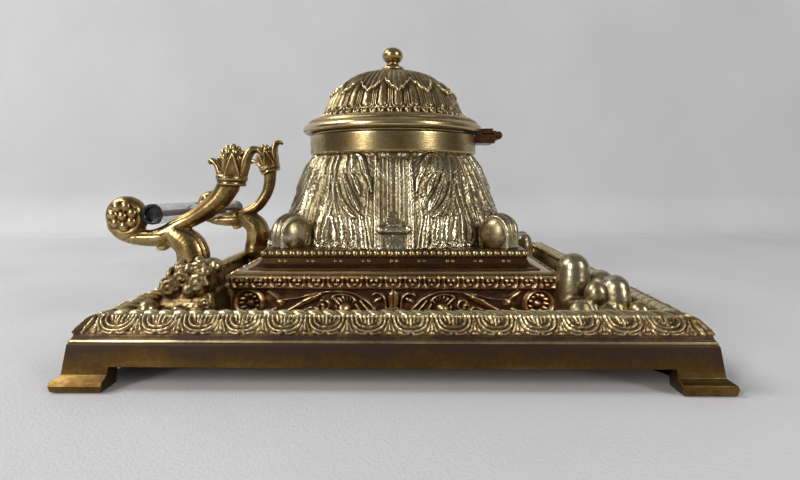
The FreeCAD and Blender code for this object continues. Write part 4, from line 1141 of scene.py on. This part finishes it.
def pen_rests():
    for hand in ("right", "left"):
        low, high = span("pen_bracket_" + hand)
        middle = (low[0] + high[0]) / 2
        verts, faces = skin(rest_field(hand), (-6.2, low[1] - 0.6, FLOOR - 0.5),
            (6.2, high[1] + 0.8, high[2] + 0.8), CELL)
        piece("pen_rest_" + hand, [(verts + np.array([middle, 0, 0]), faces)], ["pen_bracket_" + hand],
            POLISHED, passes=25, depth=0.35)


pen_rests()


# ---- small turned and plain parts ----
def tray_finials():
    low, high = span("tray_finials")
    at = high[0] - 2.9
    outline = [(0.02, FLOOR), (2.9, FLOOR), (2.9, FLOOR + 1.1), (2.3, FLOOR + 1.6), (2.0, FLOOR + 2.4),
        (1.9, FLOOR + 4.2), (2.5, FLOOR + 5.0)]
    outline += [(2.8 * math.cos(a), high[2] - 2.8 + 2.8 * math.sin(a))
        for a in np.radians(np.arange(-10, 88, 8))] + [(0.02, high[2])]
    shape = turned(spaced(outline, 0.4), 48)
    parts = [(shape[0] + np.array([sx * at, sy * at, 0]), shape[1]) for sx in (-1, 1) for sy in (-1, 1)]
    piece("tray_finials_turned", parts, ["tray_finials"], BRIGHT, passes=10, depth=0.3)


tray_finials()


def softened(node, look, width, body="base"):
    """A copy of a plain CAD node, edges rounded; the top 0.8 mm of the foot frame is painted dark as the
    shadow line under the tray.
    """
    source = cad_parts[node]
    made = placed(node + "_soft", source.data.copy())
    weld = made.modifiers.new("weld", "WELD")
    weld.merge_threshold = 1e-6
    flat = made.modifiers.new("flat", "DECIMATE")
    flat.decimate_type = "DISSOLVE"
    flat.angle_limit = math.radians(1)
    edge = made.modifiers.new("edge", "BEVEL")
    edge.width = width * MM
    edge.segments = 3
    edge.limit_method = "ANGLE"
    edge.angle_limit = math.radians(35)
    edge.use_clamp_overlap = True
    graph = bpy.context.evaluated_depsgraph_get()
    mesh = bpy.data.meshes.new_from_object(made.evaluated_get(graph))
    made.modifiers.clear()
    made.data = mesh
    mesh.materials.clear()
    mesh.materials.append(look)
    mesh.polygons.foreach_set("use_smooth", [False] * len(mesh.polygons))
    # Painted shadow: foot frame vertices above this height get the darkest tint, as the shadow line under the
    # tray.
    painted_gap_shadow_z = (BAND_TOP - 0.8) * MM
    mesh.attributes.new("relief", "FLOAT", "POINT").data.foreach_set("value",
        [0.55 if v.co.z < painted_gap_shadow_z or node != "foot_frame" else 0.0 for v in mesh.vertices])
    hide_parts(node)
    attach(made, body)
    return made


softened("foot_frame", PLAIN, 0.35)
softened("hinge_leaf_lower", HINGE, 0.15)
softened("hinge_leaf_upper", HINGE, 0.15, "lid")
for node in ("tray_screws", "plinth_screws", "boss_screws", "font_screws", "bracket_screws"):
    softened(node, STEEL, 0.08)
softened("hinge_pin", HINGE, 0.2)
softened("lid_finial_nut", STEEL, 0.2, "lid")


# ---- pen ----
def pen():
    """The pen lies along X, tilted a little; each part is turned about the pen's axis."""
    tilt = math.radians(1.6)
    middle = np.array([0, -77.0, 39.6])

    def part(outline, count=64):
        verts, faces = turned(outline, count, "x")
        x, y, z = verts.T
        x, z = spun(x, z, tilt)
        return np.stack([x, y, z], 1) + middle, faces

    def tube(x0, x1, r, wall, edge=0.12):
        return spaced(soften([(r, x0), (r, x1), (r - wall, x1), (r - wall, x0)], edge), 1.2)

    r = 3.3
    items = [("pen_barrel", tube(-39.5, 7.5, r, 0.7), PEN_PLASTIC, "clear_plastic"),
        ("pen_cap", tube(8.5, 39.7, r, 0.7), PEN_PLASTIC, "clear_plastic"),
        ("pen_seam_ring", tube(7.5, 8.5, r, 0.7, 0.1), BLACK, "black_plastic"),
        ("pen_end_plug", spaced(soften([(0.02, 38.5), (2.6, 38.5), (2.6, 39.7), (r, 39.7), (r, 40.5),
        (2.5, 40.5), (2.2, 40.2), (2.1, 39.0), (0.02, 38.9)], 0.15), 0.4), BLACK, "black_plastic"),
        ("pen_tip", spaced(soften([(0.02, -45.5), (1.2, -45.5), (r, -39.5), (2.6, -39.5), (2.6, -35.5),
        (0.02, -35.5)], 0.15), 0.8), BRIGHT, "plain_brass"),
        ("pen_refill", spaced([(0.02, -39.5), (1.05, -39.5), (1.05, 38.5), (0.02, 38.5)], 2.0), INK,
        "dark_ink")]
    for node, outline, look, slot in items:
        piece(node + "_turned", [part(outline)], [node], look, body="pen", passes=6)


pen()


# ---- stage ----
def cloth(name, light, dark, scale):
    look, tree, shader = new_look(name)
    tint = ramp(tree, noise(tree, 9, 5.0), [(0.3, dark), (0.7, light)])
    tree.links.new(tint, shader.inputs["Base Color"])
    shader.inputs["Roughness"].default_value = 0.9
    weave = blend_of(tree, "ADD", noise(tree, scale, 2.0),
        blend_of(tree, "MULTIPLY", noise(tree, 14, 2.0), 14.0))
    bumped(tree, shader, weave, 0.3, 0.0006)
    return look


def stage():
    """Cloth that lies flat under the object and turns up behind it."""
    turn = np.linspace(0, math.pi / 2, 20)
    run = [(x, 0.0) for x in np.linspace(1.3, -0.27, 200)]
    run += [(-0.27 - 0.04 * math.sin(a), 0.04 * (1 - math.cos(a))) for a in turn[1:]]
    run += [(-0.31, z) for z in np.linspace(0.05, 1.0, 40)]
    run = np.array(run)[:, None, :]
    y = np.linspace(-1.5, 1.5, 240)[None, :]
    x, z = run[..., 0] + 0 * y, run[..., 1] + 0 * y
    away = rise(np.hypot(x, y) - 0.12, 0.12) * (z == 0)
    z = z - 0.0003 + 0.0012 * away * (ripple(x * 1000, y * 1000, 71, 80) - 1.0)
    verts = np.stack([x, y + 0 * x, z], -1)
    count, wide = x.shape
    quads = grid_quads(count, wide)[:, [0, 3, 2, 1]]
    mesh = mesh_of("cloth", verts.reshape(-1, 3) / MM, [quads])
    mesh.materials.append(cloth("pale_cloth", colour(212, 212, 213), colour(203, 203, 205), 1500))
    placed("cloth", mesh)


stage()


def lamp(name, place, aim, size, power, tint=(1, 1, 1)):
    data = bpy.data.lights.new(name, "AREA")
    data.shape = "RECTANGLE"
    data.size, data.size_y = size
    data.energy = power
    data.color = tint
    item = placed(name, data)
    item.location = place
    item.rotation_euler = (Vector(aim) - Vector(place)).to_track_quat("-Z", "Y").to_euler()


def lights():
    lamp("key", (0.05, -0.95, 0.95), (0, 0, 0.03), (0.5, 0.5), 8.5, (1.0, 0.99, 0.98))
    lamp("left", (0.74, -0.58, 0.42), (0, 0, 0.05), (0.2, 0.5), 4.6, (1.0, 0.99, 0.98))
    lamp("right", (0.6, 0.72, 0.42), (0, 0, 0.05), (0.16, 0.5), 3.4, (1.0, 0.99, 0.97))
    world = bpy.data.worlds.new("room")
    bpy.context.scene.world = world
    world.use_nodes = True
    tree = world.node_tree
    place = tree.nodes.new("ShaderNodeTexCoord").outputs["Generated"]
    split = tree.nodes.new("ShaderNodeSeparateXYZ")
    tree.links.new(place, split.inputs[0])
    shade = ramp(tree, split.outputs["Z"], [(0.0, (0.035, 0.031, 0.027, 1)),
        (0.15, (0.07, 0.067, 0.062, 1)), (0.6, (0.17, 0.17, 0.17, 1)), (1.0, (0.2, 0.2, 0.2, 1))])
    tree.links.new(shade, tree.nodes["Background"].inputs["Color"])
    bpy.context.scene.view_settings.view_transform = "Standard"


lights()


# ---- camera ----
def camera():
    """Level with the lid's foot, looking along -X and a little down, close in."""
    data = bpy.data.cameras.new("camera")
    data.sensor_width = 36
    data.lens = 23.29
    data.clip_start = 0.01
    item = placed("camera", data)
    item.location = (CENTRE + np.array([203.1, 5.0, 51.8])) * MM
    yaw, pitch, roll = math.radians(-1.10), math.radians(6.76), math.radians(-0.14)
    ahead = Vector((-math.cos(yaw) * math.cos(pitch), math.sin(yaw) * math.cos(pitch), -math.sin(pitch)))
    turn = ahead.to_track_quat("-Z", "Y")
    item.rotation_euler = turn.to_euler()
    item.rotation_euler.rotate_axis("Z", roll)
    bpy.context.scene.camera = item


camera()
